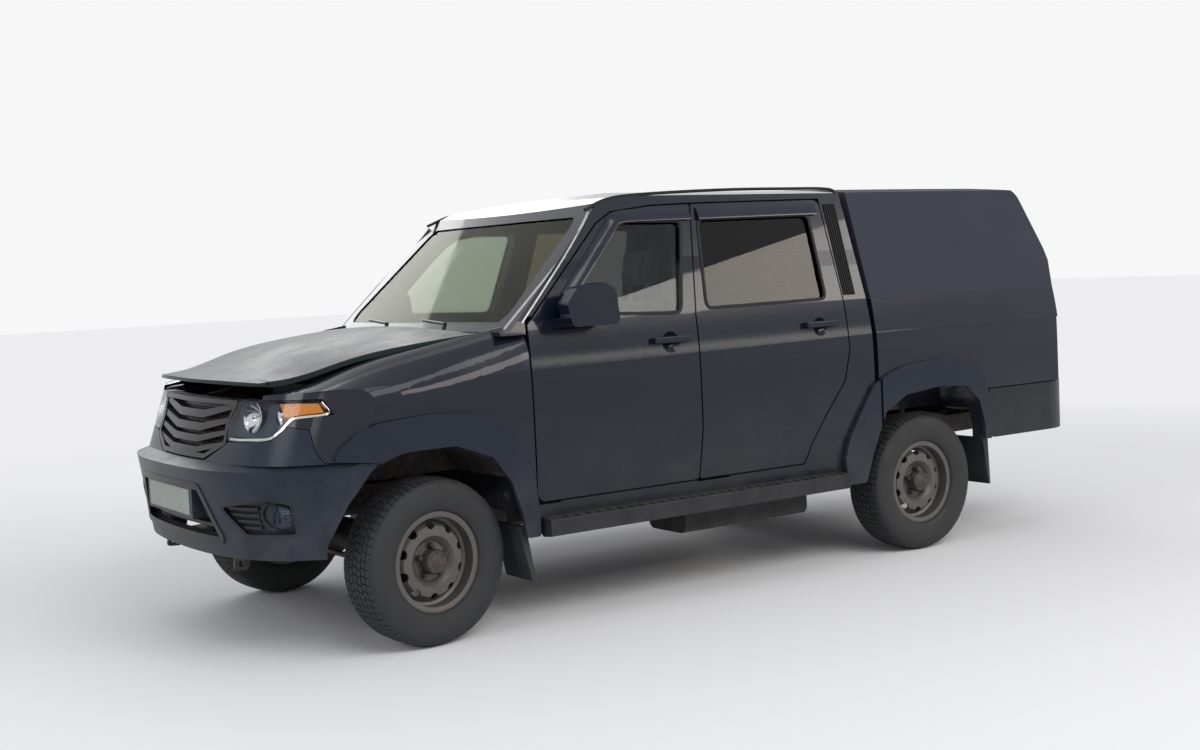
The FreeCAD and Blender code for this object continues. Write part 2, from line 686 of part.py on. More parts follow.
def fender():
    skin = NOSE.cut(NOSE_INNER)
    skin = skin.common(block(1000, 2600, 300, 1000, 400, 1500))
    cap = nose_prism(0, 780).cut(nose_prism(FENDER_SKIN, 780))
    front = cap.common(NOSE).common(block(1950, 2600, 300, 1000, 780, 1500))
    skin = skin.common(nose_prism(0, 400, 1450)).fuse(front)
    skin = skin.common(side_prism(FENDER_OUTLINE, 0, 1000))
    skin = skin.cut(side_prism(FRONT_ARCH, 300, 1000, ARCH_RADIUS))
    pillar_foot = OUTER_CAB.common(block(1000, 1500, -1000, 1000, PILLAR_FOOT_Z - SEAT_GAP, 1500))
    skin = skin.cut(hood_region(5, 900, 1500)).cut(pillar_foot)
    skin = skin.cut(block(1000, HOOD_LINE[0][0] + 5, 0, HOOD_LINE[0][1] + 5, 400, 1500))
    skin = skin.cut(block(HOOD_LINE[-1][0], 2600, 0, HOOD_LINE[-1][1] + MOVING_GAP, 400, 1500))
    skin = skin.cut(lamp_prism(offset_outline(LAMP_OUTLINE, LAMP_GAP), LAMP_RADII))
    solids = sorted(skin.Solids, key=lambda s: s.Volume)
    return solids[-1]


def headlamp():
    body = NOSE.common(nose_prism(0)).cut(nose_prism(LAMP_DEPTH))
    body = body.common(lamp_prism(LAMP_OUTLINE, LAMP_RADII)).common(block(1900, 2600, 200, 1000, 900, 1200))
    return body.cut(hood_region(MOVING_GAP, 1062, 1500))


closed_hood = hood()
add("hood", turned(closed_hood, HOOD_HINGE, V(0, -1, 0), HOOD_AJAR))
add("fenders", Part.makeCompound(both_sides(fender())))


# Front bumper, grille and lamps set into them
BUMPER_LEAN = -0.15
RIDGE_Z = 826
BUMPER_BOTTOM_Z = 450
SHELF_TOP_Z = 852
SHELF_LEAN = 3.6
BUMPER_WALL = 50
BODY_HALF_WIDTH = WAIST_HALF_WIDTH
PLATE_WIDTH = 520
PLATE_HEIGHT = 112
FRONT_PLATE_Z = 672
LOWER_OPENING = [(352, 748), (482, 522), (-482, 522), (-352, 748)]
FOG_POCKET = [(-1416, 672), (-1273, 552), (-1034, 556), (-1050, 692), (-1150, 712)]
FOG_CENTRE = V(2345, 761, 634)
FOG_RADIUS = 52
FOG_LENGTH = 90
FOG_POCKET_DEPTH = 28
CORNER_OUTLINE = [(-1556, 846), (-1414, 920), (-1398, 934), (-1148, 948), (-1084, 991), (-1045, 1029),
                  (-900, 1044), (-850, 846)]


def bumper_prism(inset, z0=BUMPER_BOTTOM_Z, z1=RIDGE_Z):
    return front_prism_of(BUMPER_PLAN, inset, z0, z1, BUMPER_LEAN, RIDGE_Z)


def front_bumper():
    body = bumper_prism(0).cut(bumper_prism(BUMPER_WALL, BUMPER_BOTTOM_Z - 1, RIDGE_Z + 1))
    shelf = front_prism_of(BUMPER_PLAN, 0, RIDGE_Z, SHELF_TOP_Z, SHELF_LEAN, RIDGE_Z)
    shelf = shelf.cut(nose_prism(90, RIDGE_Z - 5, SHELF_TOP_Z + 5))
    body = body.fuse(shelf)
    body = body.common(block(1900, 2600, -BODY_HALF_WIDTH, BODY_HALF_WIDTH, 400, 900))
    corner = nose_prism(0, 840, 1060).cut(nose_prism(40, 839, 1061)).common(NOSE)
    for side in (1, -1):
        arch = side_prism(FRONT_ARCH, side * 300, side * 1000, ARCH_RADIUS)
        fender_side = side_prism(offset_outline(FENDER_OUTLINE, LAMP_GAP), side * 300, side * 1000)
        body = cut(body, [arch, fender_side])
        if side > 0:
            left = corner.common(lamp_prism(CORNER_OUTLINE, 0)).cut(fender_side)
            pocket = bumper_prism(-20).cut(bumper_prism(FOG_POCKET_DEPTH)).common(lamp_prism(FOG_POCKET, 20))
            pocket = pocket.common(block(2200, 2600, 300, 1000, 400, 900))
    for piece in both_sides(left.common(block(1900, 2600, 200, 1000, 800, 1100))):
        body = body.fuse(piece)
    body = cut(body, both_sides(pocket))
    body = body.cut(front_prism(LOWER_OPENING, 2300, 2700, 18))
    holder = block(2470, 2542, -290, 290, FRONT_PLATE_Z - 70, FRONT_PLATE_Z + 80)
    tray = side_prism([(2465, 452), (2465, 458), (2260, 470), (2150, 560), (2144, 556), (2256, 464)],
                      -385, 385)
    return body.fuse(holder).fuse(tray).removeSplitter()


def fog_lamp():
    lamp = Part.makeCylinder(FOG_RADIUS, FOG_LENGTH, FOG_CENTRE - V(FOG_LENGTH - 8, 0, 0), V(1, 0, 0))
    return lamp.cut(bumper_prism(FOG_POCKET_DEPTH))


def lower_grille():
    mesh = bumper_prism(36).cut(bumper_prism(44)).common(front_prism(LOWER_OPENING, 2300, 2700, 18))
    slots = []
    for row in range(5):
        z = 540 + row * 42
        half = 470 - (z - 522) * 0.57 - 30
        slots.append(block(2300, 2700, -half, half, z, z + 26))
    return cut(mesh, slots)


GRILLE_BARS = ((1058, 34), (1002, 34), (950, 30), (900, 26))


def grille_bar(z, height):
    """Bar that dips in the middle and rises to both sides."""
    outline = [(470, z + 42), (150, z), (-150, z), (-470, z + 42), (-470, z + 42 - height * 0.6),
               (-150, z - height), (150, z - height), (470, z + 42 - height * 0.6)]
    return nose_prism(4).cut(nose_prism(36)).common(front_prism(outline, 2200, 2600))


def grille():
    whole = front_prism(GRILLE_OUTLINE, 2200, 2600, 12)
    inside = front_prism(offset_outline(GRILLE_OUTLINE, -20), 2200, 2600, 10)
    frame = nose_prism(0).cut(nose_prism(60)).common(whole.cut(inside))
    mesh = nose_prism(44).cut(nose_prism(50)).common(whole)
    bars = [grille_bar(z, h).common(whole) for z, h in GRILLE_BARS]
    return fuse([frame, mesh] + bars)


bumper = front_bumper()
grille_piece = grille()
add("front_bumper", bumper.cut(grille_piece))
add("grille", Part.makeCompound([grille_piece, lower_grille().cut(bumper)]))
grille_room = front_prism(offset_outline(GRILLE_OUTLINE, SEAT_GAP), 2200, 2600, 12)
lamp = headlamp().cut(bumper).cut(grille_room)
fog = fog_lamp().cut(bumper)
add("front_lamps", Part.makeCompound(both_sides(lamp) + both_sides(fog)))
front_plate = block(2542, 2545, -PLATE_WIDTH / 2, PLATE_WIDTH / 2, FRONT_PLATE_Z - PLATE_HEIGHT / 2,
                    FRONT_PLATE_Z + PLATE_HEIGHT / 2)

# Flares, running boards and mud flaps
FLARE_DEPTH = 30
FLARE_HALF_WIDTH = 957
FRONT_FLARE = [(2172, 862), (2130, 918), (2060, 966), (1955, 998), (1710, 1016), (1500, 1004),
               (1400, 972), (1325, 915), (1265, 820), (1215, 690), (1195, 560), (1192, 420),
               (1262, 420), (1284, 540), (1330, 680), (1420, 800), (1600, 868), (1830, 866), (1985, 836)]
REAR_FLARE = [(-690, 425), (-672, 560), (-710, 670), (-790, 790), (-890, 925), (-935, 948),
              (-1010, 978), (-1110, 1008), (-1290, 1028), (-1440, 1032), (-1540, 1022), (-1640, 995),
              (-1700, 950), (-1750, 885), (-1772, 800), (-1786, 700), (-1786, 560), (-1736, 560),
              (-1732, 640), (-1690, 780), (-1590, 866), (-1400, 884), (-1130, 858), (-975, 780),
              (-880, 590), (-815, 425)]
BODY_SPLIT = (-953, -937)


def flare(outline, y_inner):
    return side_prism(outline, y_inner, FLARE_HALF_WIDTH, 12)


def front_flare():
    shape = flare(FRONT_FLARE, 880)
    return shape.cut(NOSE).cut(block(2000, 2300, 800, 1000, 400, 836)).cut(OUTER_CAB)


def rear_flare():
    shape = flare(REAR_FLARE, 880)
    for bottom in (560, BODY_BOTTOM_Z - 100):
        outer = Part.Face(section_wire(-2500, -SEAT_GAP, -SEAT_GAP, 0, bottom))
        shape = shape.cut(outer.extrude(V(2000, 0, 0)))
    return shape.cut(block(*BODY_SPLIT, 800, 1100, 300, 1200))


BOARD_TOP_Z = 500
BOARD_FRONT_X = 1165
BOARD_REAR_X = -660
BOARD_BRACKETS = (-640, 320, 950)
RAIL_OUTER_Y = 465


def running_board():
    profile = [(905, BOARD_TOP_Z), (1000, BOARD_TOP_Z - 8), (1000, 418), (930, 410), (905, 430)]
    board = front_prism(profile, BOARD_REAR_X, BOARD_FRONT_X, 6)
    grooves = [block(x, x + 12, 940, 990, BOARD_TOP_Z - 12, BOARD_TOP_Z + 5)
               for x in range(-620, 1100, 60)]
    board = cut(board.cut(OUTER_CAB), grooves)
    for x in BOARD_BRACKETS:
        board = board.fuse(block(x, x + 50, RAIL_OUTER_Y + SEAT_GAP, 915, 420, 455))
    return board.removeSplitter()


def mud_flaps():
    front = side_prism([(1250, 470), (1290, 470), (1226, 215), (1206, 215)], 690, 920)
    rear = side_prism([(-1747, 560 - SEAT_GAP), (-1787, 560 - SEAT_GAP), (-1800, 300), (-1786, 300)],
                      690, 920)
    return both_sides(front) + both_sides(rear)


add("running_boards", Part.makeCompound(both_sides(running_board())))
flare_pieces = both_sides(front_flare()) + both_sides(rear_flare())
add("flares", Part.makeCompound(flare_pieces + mud_flaps()))

# Bed, tailgate, canopy and rear bumper
REAR_BUMPER_TOP_Z = 832
REAR_BUMPER_FRONT_X = -1792
SKIRT_Y = 892
BED_FRONT_X = -948
BED_REAR_X = -2420
RAIL_Z = 1203
BED_FLOOR_Z = 780
BED_FLOOR_THICKNESS = 28
BED_WALL = 62
TAILGATE_HALF_WIDTH = 772
TAILGATE_THICKNESS = 48
TAILGATE_BOTTOM_Z = 846
TAILGATE_PIN = V(-2408, 0, 856)
TAILGATE_PIN_RADIUS = 5
CORNER_PLAN_RADIUS = 70
CANOPY_WALL = 26
CANOPY_ROOF_INSET = -2
CANOPY_REAR = [(-2120, 1966), (-2248, 1937), (-2385, 1600), (-2402, 1530), (-2386, 1378),
               (-2400, RAIL_Z + SEAT_GAP)]
HATCH_HALF_WIDTH = 660
HATCH_BOTTOM_Z = 1222
HATCH_TOP_Z = 1905


def bed_form(inset):
    wire = section_wire(BED_REAR_X, inset, inset, 0, 560)
    form = Part.Face(wire).extrude(V(BED_FRONT_X - BED_REAR_X, 0, 0))
    corner = [(BED_REAR_X + 75 + inset, 1000), (BED_REAR_X + inset, 880 - 0.6 * inset)]
    left = [(BED_FRONT_X - inset, 1000)] + corner
    plan = left + [(x, -y) for x, y in reversed(left)]
    radii = [0, 0, CORNER_PLAN_RADIUS, CORNER_PLAN_RADIUS, 0, 0]
    return form.common(plan_prism(plan, 500, RAIL_Z, radii))


def bed():
    body = bed_form(0)
    body = body.cut(bed_form(BED_WALL).common(block(-3000, 0, -1000, 1000, BED_FLOOR_Z, 1300)))
    body = body.cut(block(-2500, -900, -860, 860, 500, BED_FLOOR_Z - BED_FLOOR_THICKNESS))
    for side in (1, -1):
        tub = side_prism(offset_outline(REAR_ARCH, 26), side * 610, side * 900, ARCH_RADIUS)
        tub = tub.common(block(-2400, BED_FRONT_X, -900, 900, BED_FLOOR_Z - 40, 1000))
        body = body.fuse(tub)
        body = body.cut(side_prism(REAR_ARCH, side * 636, side * 1000, ARCH_RADIUS))
    for side in (1, -1):
        skirt = plan_prism([(-2600, side * SKIRT_Y), (REAR_BUMPER_FRONT_X + MOVING_GAP, side * SKIRT_Y),
                            (REAR_BUMPER_FRONT_X + MOVING_GAP, side * 1000), (-2600, side * 1000)],
                           500, REAR_BUMPER_TOP_Z + MOVING_GAP)
        body = body.cut(skirt)
    half = TAILGATE_HALF_WIDTH + MOVING_GAP
    sill_z = TAILGATE_BOTTOM_Z - 2 * MOVING_GAP
    body = body.cut(block(-2500, BED_REAR_X + BED_WALL + 1, -half, half, sill_z, 1300))
    for side in (1, -1):
        body = body.fuse(rod(V(TAILGATE_PIN.x, side * (half + 12), TAILGATE_PIN.z),
                             V(TAILGATE_PIN.x, side * (half - 24), TAILGATE_PIN.z), TAILGATE_PIN_RADIUS))
    return body.removeSplitter()


def tailgate():
    half = TAILGATE_HALF_WIDTH
    body = block(BED_REAR_X, BED_REAR_X + TAILGATE_THICKNESS, -half, half, TAILGATE_BOTTOM_Z, RAIL_Z - 2)
    body = body.cut(block(BED_REAR_X - 1, BED_REAR_X + 8, -half + 90, half - 90, 900, 1120))
    for side in (1, -1):
        body = body.cut(rod(V(TAILGATE_PIN.x, side * (half + 1), TAILGATE_PIN.z),
                            V(TAILGATE_PIN.x, side * (half - 22), TAILGATE_PIN.z),
                            TAILGATE_PIN_RADIUS + RUNNING_GAP))
    return body


def tail_lamp():
    return block(-2440, -2388, 792, 940, 870, 1150)


def canopy_form(inset):
    wire = section_wire(-2500, inset, inset, CANOPY_ROOF_INSET + inset, RAIL_Z + SEAT_GAP - 3)
    form = Part.Face(wire).extrude(V(1600, 0, 0))
    rear = [(x + inset, z) for x, z in CANOPY_REAR]
    front = [(BED_FRONT_X + 4 - inset, RAIL_Z + SEAT_GAP), (-930 - inset, 1500), (-908 - inset, 1994)]
    outline = [(x, z - (inset if z > 1900 else 0)) for x, z in rear + front]
    return form.common(side_prism(outline, -1000, 1000, [120, 120, 60, 20, 0, 0, 0, 0, 60]))


HATCH_OUTLINE = [(HATCH_HALF_WIDTH, HATCH_BOTTOM_Z), (HATCH_HALF_WIDTH - 70, HATCH_TOP_Z),
                 (-HATCH_HALF_WIDTH + 70, HATCH_TOP_Z), (-HATCH_HALF_WIDTH, HATCH_BOTTOM_Z)]
HATCH_WINDOW = [(540, 1420), (490, 1800), (-490, 1800), (-540, 1420)]
canopy_outer = canopy_form(0)
canopy_inner = canopy_form(CANOPY_WALL)
canopy_shell = canopy_outer.cut(canopy_inner)
canopy_shell = canopy_shell.cut(canopy_form(CANOPY_WALL).translated(V(0, 0, -30)))


def hatch_prism(grow):
    return front_prism(offset_outline(HATCH_OUTLINE, grow), -2600, -2150, 40)


HATCH_AXIS = V(-2273, 0, 1914)
HATCH_PIN_RADIUS = 4
HATCH_KNUCKLE_RADIUS = 9
HATCH_HINGE_Y = 430
KNUCKLE_LENGTH = 34


def along_y(centre, y0, y1, radius):
    return rod(V(centre.x, y0, centre.z), V(centre.x, y1, centre.z), radius)


def canopy_knuckle(y):
    """Middle knuckle with the pin and a leaf on the canopy."""
    half = KNUCKLE_LENGTH / 2
    leaf = side_prism([(HATCH_AXIS.x + 4, 1916), (HATCH_AXIS.x + 40, 1936), (HATCH_AXIS.x + 44, 1922),
                       (HATCH_AXIS.x + 12, 1903)], y - half, y + half)
    knuckle_tube = along_y(HATCH_AXIS, y - half, y + half, HATCH_KNUCKLE_RADIUS)
    pin = along_y(HATCH_AXIS, y - 3 * half, y + 3 * half, HATCH_PIN_RADIUS)
    return leaf.fuse(knuckle_tube).fuse(pin)


def hatch_knuckles(y):
    """Two outer knuckles with their leaf on the hatch."""
    half = KNUCKLE_LENGTH / 2
    tubes = []
    for side in (1, -1):
        y0 = y + side * (half + 0.5)
        y1 = y + side * 3 * half
        tubes.append(along_y(HATCH_AXIS, y0, y1, HATCH_KNUCKLE_RADIUS))
        tubes.append(side_prism([(HATCH_AXIS.x - 8, 1912), (HATCH_AXIS.x + 3, 1906), (-2272, 1868),
                                 (-2282, 1872)], min(y0, y1), max(y0, y1)))
    bore = along_y(HATCH_AXIS, y - 2 * KNUCKLE_LENGTH, y + 2 * KNUCKLE_LENGTH,
                   HATCH_PIN_RADIUS + RUNNING_GAP)
    return fuse(tubes).cut(bore)


canopy_body = canopy_shell.cut(hatch_prism(MOVING_GAP))
for side in (1, -1):
    canopy_body = canopy_body.fuse(canopy_knuckle(side * HATCH_HINGE_Y))
add("canopy", canopy_body)
hatch_wall = canopy_shell.common(hatch_prism(0)).common(block(-2600, -2200, -900, 900, 1200, 2000))
hatch_window = front_prism(HATCH_WINDOW, -2600, -2150, 40)
hatch = hatch_wall.cut(hatch_window)
for side in (1, -1):
    hatch = hatch.fuse(hatch_knuckles(side * HATCH_HINGE_Y))
add("canopy_hatch", hatch)
hatch_glass = canopy_form(10).cut(canopy_form(16)).common(hatch_window)
add("canopy_glass", hatch_glass.common(block(-2600, -2200, -900, 900, 1200, 2000)))
add("bed", bed())
add("tailgate", tailgate())


REAR_BUMPER_PLAN = [(2565, 0), (2561, 400), (2548, 650), (2520, 790), (2465, 875), (2380, 925),
                    (2250, 943), (2000, 1000)]
REAR_BUMPER_WALL = 38
REAR_STEP_Z = 800
REAR_BUMPER_BOTTOM_Z = 560
REAR_PLATE_X = -2552
REAR_PLATE_Z = 682
RAIL_REAR_X = -2380
RAIL_BRACKET_Y = 430


def rear_bumper():
    """Bumper wrapped round the tail, with a lower step in the middle."""
    mirror_x = (V(0, 0, 0), V(1, 0, 0))
    outer = front_prism_of(REAR_BUMPER_PLAN, 0, REAR_BUMPER_BOTTOM_Z, REAR_BUMPER_TOP_Z, 0, 0, 1700)
    inner = front_prism_of(REAR_BUMPER_PLAN, REAR_BUMPER_WALL, 500, REAR_BUMPER_TOP_Z - 30, 0, 0, 1600)
    inner = inner.common(block(-3000, 3000, -902, 902, 400, 900))
    body = outer.cut(inner).mirror(*mirror_x)
    body = body.common(block(-2600, REAR_BUMPER_FRONT_X, -940, 940, 500, 900))
    under_half = SKIRT_Y + MOVING_GAP
    body = body.cut(block(BED_REAR_X - MOVING_GAP, -1700, -under_half, under_half, 500, 900))
    body = body.cut(block(-2700, BED_REAR_X + 70, -790, 790, REAR_STEP_Z, 900))
    body = body.cut(block(-2600, REAR_PLATE_X, -PLATE_WIDTH / 2 - 12, PLATE_WIDTH / 2 + 12,
                          REAR_PLATE_Z - 70, REAR_PLATE_Z + 70))
    toe = side_prism([(-1700, 500), (-1700, 640), (-1830, 560), (-1990, 500)], -1000, 1000)
    body = body.cut(toe)
    for side in (1, -1):
        y = side * RAIL_BRACKET_Y
        body = body.fuse(block(-2540, RAIL_REAR_X - SEAT_GAP, y - 30, y + 30, 560, 640))
    return body.removeSplitter()


add("rear_bumper", rear_bumper())
rear_plate = block(REAR_PLATE_X - 3, REAR_PLATE_X, -PLATE_WIDTH / 2, PLATE_WIDTH / 2,
                   REAR_PLATE_Z - PLATE_HEIGHT / 2, REAR_PLATE_Z + PLATE_HEIGHT / 2)
tail = bed_form(0).cut(bed_form(40)).common(tail_lamp())
bed_piece = parts["bed"]
add("bed", cut(bed_piece.cut(parts["rear_bumper"]), both_sides(tail)))
add("tail_lamps", Part.makeCompound(both_sides(tail)))

# Ladder frame
RAIL_Y = 430
RAIL_WIDTH = 70
FRAME_RAIL = [(2390, 500), (2390, 600), (2150, 620), (1960, 680), (1450, 680), (1240, 505), (-935, 505),
              (-1065, 690), (-1750, 690), (-1950, 645), (RAIL_REAR_X, 645), (RAIL_REAR_X, 545),
              (-1950, 540), (-1760, 580), (-1110, 580), (-975, 390), (1150, 390), (1350, 540),
              (1450, 575), (1960, 575), (2150, 520)]
CROSSMEMBERS = ((2300, 515, 590), (1985, 590, 660), (350, 425, 500), (-420, 425, 500),
                (-840, 425, 500), (-1500, 600, 680), (-2340, 560, 640))


SPARE_CENTRE = V(-1925, 0, 585)
TOW_EYE = V(2395, RAIL_Y, 405)
TOW_EYE_RADIUS = 14
TOW_PLATE = 20
HITCH = V(-2440, 0, 560)
HITCH_RADIUS = 13
HITCH_PLATE = 16


def rail_piece():
    """One side rail with its tow eye at the front end."""
    rail = side_prism(FRAME_RAIL, RAIL_Y - RAIL_WIDTH / 2, RAIL_Y + RAIL_WIDTH / 2, 20)
    y0 = RAIL_Y - TOW_PLATE / 2
    eye = side_prism([(2330, 470), (2310, 540), (2385, 540), (2420, 440), (2426, 378), (2366, 374)],
                     y0, y0 + TOW_PLATE, 10)
    hole = Part.makeCylinder(TOW_EYE_RADIUS, TOW_PLATE, V(TOW_EYE.x, y0, TOW_EYE.z), V(0, 1, 0))
    return rail.fuse(eye).cut(hole).removeSplitter()


def crossmembers():
    half = RAIL_Y - RAIL_WIDTH / 2
    members = [block(x - 35, x + 35, -half, half, low, high) for x, low, high in CROSSMEMBERS]
    hitch = block(HITCH.x - 32, -2300, -45, 45, HITCH.z - HITCH_PLATE / 2, HITCH.z + HITCH_PLATE / 2)
    hitch = hitch.cut(Part.makeCylinder(HITCH_RADIUS, 60, HITCH - V(0, 0, 30)))
    members[-1] = members[-1].fuse(hitch).removeSplitter()
    top = SPARE_CENTRE.z - TYRE_WIDTH / 2 - SEAT_GAP
    strap = block(SPARE_CENTRE.x - 20, SPARE_CENTRE.x + 20, -half, half, top - 12, 560)
    inner = half - 12
    members.append(strap.cut(block(-2200, -1700, -inner, inner, top, 600)))
    return members


def body_mounts():
    """Rubber blocks that carry the cab and bed on the rails."""
    pads = []
    for x in (1180, 500, -300):
        pads.append(Part.makeCylinder(32, FLOOR_Z - FLOOR_THICKNESS - 505, V(x, RAIL_Y, 505)))
    for x in (-1130, -1600):
        height = BED_FLOOR_Z - BED_FLOOR_THICKNESS - 690
        pads.append(Part.makeCylinder(32, height, V(x, RAIL_Y, 690)))
    top = BED_FLOOR_Z - BED_FLOOR_THICKNESS - 645
    pads.append(Part.makeCylinder(32, top, V(-2250, RAIL_Y, 645)))
    return pads


rail_left = rail_piece()
add_pair("frame_rail", rail_left)
pads = body_mounts()
add("frame_crossmembers", Part.makeCompound(crossmembers() + pads + [mirrored(p) for p in pads]))

# Engine, gearbox, shafts, tank and exhaust
ENGINE_X = (1385, 1930)
engine = block(*ENGINE_X, -230, 230, 560, 1130)
engine = engine.fuse(block(1420, 1900, -150, 150, 500, 560))
engine = engine.fuse(block(1620, 1700, -395, 395, 590, 640)).removeSplitter()
add("engine", engine)
gearbox = Part.makeCone(103, 125, 130, V(1140, 0, 405), V(1, 0, 0))
gearbox = gearbox.fuse(block(1262, ENGINE_X[0], -165, 165, 290, 640))
gearbox = gearbox.cut(block(1000, 1260, -300, 300, FLOOR_Z - FLOOR_THICKNESS - MOVING_GAP, 700))
gearbox = gearbox.fuse(Part.makeCylinder(103, 500, V(650, 0, 405), V(1, 0, 0)))
gearbox = gearbox.fuse(block(385, 660, -240, 160, 285, 500))
gearbox = gearbox.removeSplitter()
SHAFT_RADIUS = 32
DIFF_Y = -205
rear_shaft = rod(V(384, 0, 380), V(-1140, 0, 375), SHAFT_RADIUS)
front_shaft = rod(V(655, DIFF_Y, 330), V(1575, DIFF_Y, 362), SHAFT_RADIUS * 0.8)
shafts = [s.cut(gearbox) for s in (rear_shaft, front_shaft)]
tank = block(-560, 240, RAIL_OUTER_Y, 770, 275, 480)
add("fuel_tank", tank.makeFillet(45, [e for e in tank.Edges if abs(e.Length - 800) < 1]))
muffler = rod(V(60, -620, 375), V(-500, -620, 375), 85)
tail_pipe = tube_path([V(-495, -620, 375), (V(-900, -610, 400)), V(-1150, -590, 500), V(-1500, -590, 500),
                       V(-1900, -640, 480), V(-2300, -700, 480)], 27, 90)
front_pipe = tube_path([V(1480, -225, 760), V(1400, -325, 640), V(1360, -330, 342), V(1080, -360, 340),
                        V(850, -620, 350), V(50, -620, 372)], 27, 60)
add("exhaust", fuse([muffler, tail_pipe, front_pipe]).cut(engine))

# Axles, springs and knuckles
AXLE_Z = TYRE_RADIUS
KINGPIN_Y = 700
KINGPIN_RADIUS = 14
EAR_REACH = 95
TIE_ROD_X = FRONT_AXLE_X + 150
TIE_ROD_Z = 345
STEER_REST = 8


def axle_ears():
    """Fork at the end of the front axle that holds one kingpin."""
    x0, x1 = FRONT_AXLE_X - 38, FRONT_AXLE_X + 38
    fork = block(x0, x1, 590, 622, AXLE_Z - EAR_REACH, AXLE_Z + EAR_REACH)
    for z in (AXLE_Z - EAR_REACH, AXLE_Z + EAR_REACH - 18):
        ear = block(x0, x1, 600, KINGPIN_Y, z, z + 18)
        ear = ear.fuse(Part.makeCylinder(38, 18, V(FRONT_AXLE_X, KINGPIN_Y, z)))
        fork = fork.fuse(ear)
    bore = Part.makeCylinder(KINGPIN_RADIUS + RUNNING_GAP, 300, V(FRONT_AXLE_X, KINGPIN_Y, AXLE_Z - 150))
    return fork.cut(bore)


def front_axle():
    beam = rod(V(FRONT_AXLE_X, -595, AXLE_Z), V(FRONT_AXLE_X, 595, AXLE_Z), 42)
    housing = Part.makeSphere(118, V(FRONT_AXLE_X, DIFF_Y, AXLE_Z))
    nose = Part.makeCone(60, 90, 110, V(FRONT_AXLE_X - 140, DIFF_Y, AXLE_Z), V(1, 0, 0))
    return fuse([beam, housing, nose] + both_sides(axle_ears()))


def knuckle():
    x = FRONT_AXLE_X
    body = block(x - 34, x + 34, 668, 752, AXLE_Z - 76, AXLE_Z + 76)
    pin = Part.makeCylinder(KINGPIN_RADIUS, 2 * EAR_REACH + 6, V(x, KINGPIN_Y, AXLE_Z - EAR_REACH - 3))
    spindle = rod(V(x, 750, AXLE_Z), V(x, 846, AXLE_Z), 26)
    plate = rod(V(x, 745, AXLE_Z), V(x, 753, AXLE_Z), 140)
    arm = block(x, TIE_ROD_X + 22, 672, 712, TIE_ROD_Z - 34, TIE_ROD_Z - 12)
    return fuse([body, pin, spindle, plate, arm])


def tie_rod():
    z = TIE_ROD_Z
    bar = rod(V(TIE_ROD_X, -650, z + 6), V(TIE_ROD_X, 650, z + 6), 13)
    pad = block(TIE_ROD_X - 14, TIE_ROD_X + 14, 640, 704, z - 12 + SEAT_GAP, z + 16)
    return fuse([bar] + both_sides(pad))


def rear_axle():
    beam = rod(V(REAR_AXLE_X, -690, AXLE_Z), V(REAR_AXLE_X, 690, AXLE_Z), 46)
    housing = Part.makeSphere(140, V(REAR_AXLE_X, 0, AXLE_Z))
    nose = Part.makeCone(90, 60, 110, V(REAR_AXLE_X + 60, 0, AXLE_Z), V(1, 0, 0))
    ends = []
    for side in (1, -1):
        ends.append(rod(V(REAR_AXLE_X, side * 676, AXLE_Z), V(REAR_AXLE_X, side * 700, AXLE_Z), 140))
        ends.append(rod(V(REAR_AXLE_X, side * 690, AXLE_Z), V(REAR_AXLE_X, side * 846, AXLE_Z), 26))
    return fuse([beam, housing, nose] + ends)


def suspension():
    pieces = []
    spring_low = AXLE_Z + 42
    seat = Part.makeCylinder(58, 10, V(FRONT_AXLE_X, RAIL_Y, spring_low))
    sleeve = Part.makeCylinder(40, 575 - spring_low, V(FRONT_AXLE_X, RAIL_Y, spring_low))
    pieces.append(fuse([seat, sleeve]))
    arm = rod(V(1130, RAIL_Y, 370), V(FRONT_AXLE_X - 30, RAIL_Y, AXLE_Z - 20), 17)
    pieces.append(arm.fuse(block(1110, 1145, RAIL_Y - 25, RAIL_Y + 25, 350, 390)))
    leaf = side_prism([(-640, 382), (-1000, 386), (-1290, 426), (-1680, 442), (-1990, 470), (-1990, 456),
                       (-1680, 428), (-1290, 413), (-1000, 372), (-640, 369)], RAIL_Y - 30, RAIL_Y + 30)
    hanger = block(-670, -640, RAIL_Y - 30, RAIL_Y + 30, 375, 390)
    shackle = block(-1992, -1970, RAIL_Y - 30, RAIL_Y + 30, 455, 541)
    pieces.append(fuse([leaf, hanger, shackle]))
    return pieces


def steered(shape, side):
    """The piece as it stands with the front wheels turned a little to the left."""
    return turned(shape, V(FRONT_AXLE_X, side * KINGPIN_Y, AXLE_Z), V(0, 0, 1), STEER_REST)


left_knuckle = knuckle()
add("front_axle", front_axle())
add("knuckle_left", steered(left_knuckle, 1))
add("knuckle_right", steered(mirrored(left_knuckle), -1))
tie_shift = (TIE_ROD_X - FRONT_AXLE_X) * math.sin(math.radians(STEER_REST))
add("tie_rod", tie_rod().translated(V(0, tie_shift, 0)))
add("rear_axle", rear_axle())
gearbox = gearbox.cut(engine)
shafts = [s.cut(parts["front_axle"]).cut(parts["rear_axle"]) for s in shafts]
add("driveline", Part.makeCompound([gearbox] + shafts))
springs = [s.cut(parts["front_axle"]).cut(parts["rear_axle"]).cut(rail_left) for s in suspension()]
add("suspension", Part.makeCompound(springs + [mirrored(s) for s in springs]))

# Wheels
TYRE_PROFILE = [(79.4, RIM_SEAT_RADIUS + 0.4), (79.4, 220.6), (90, 221.5), (103, 233), (112, 253),
                (117.5, 292),
                (114, 328), (101, 350), (74, 364), (0, TYRE_RADIUS)]
SPINDLE_RADIUS = 26


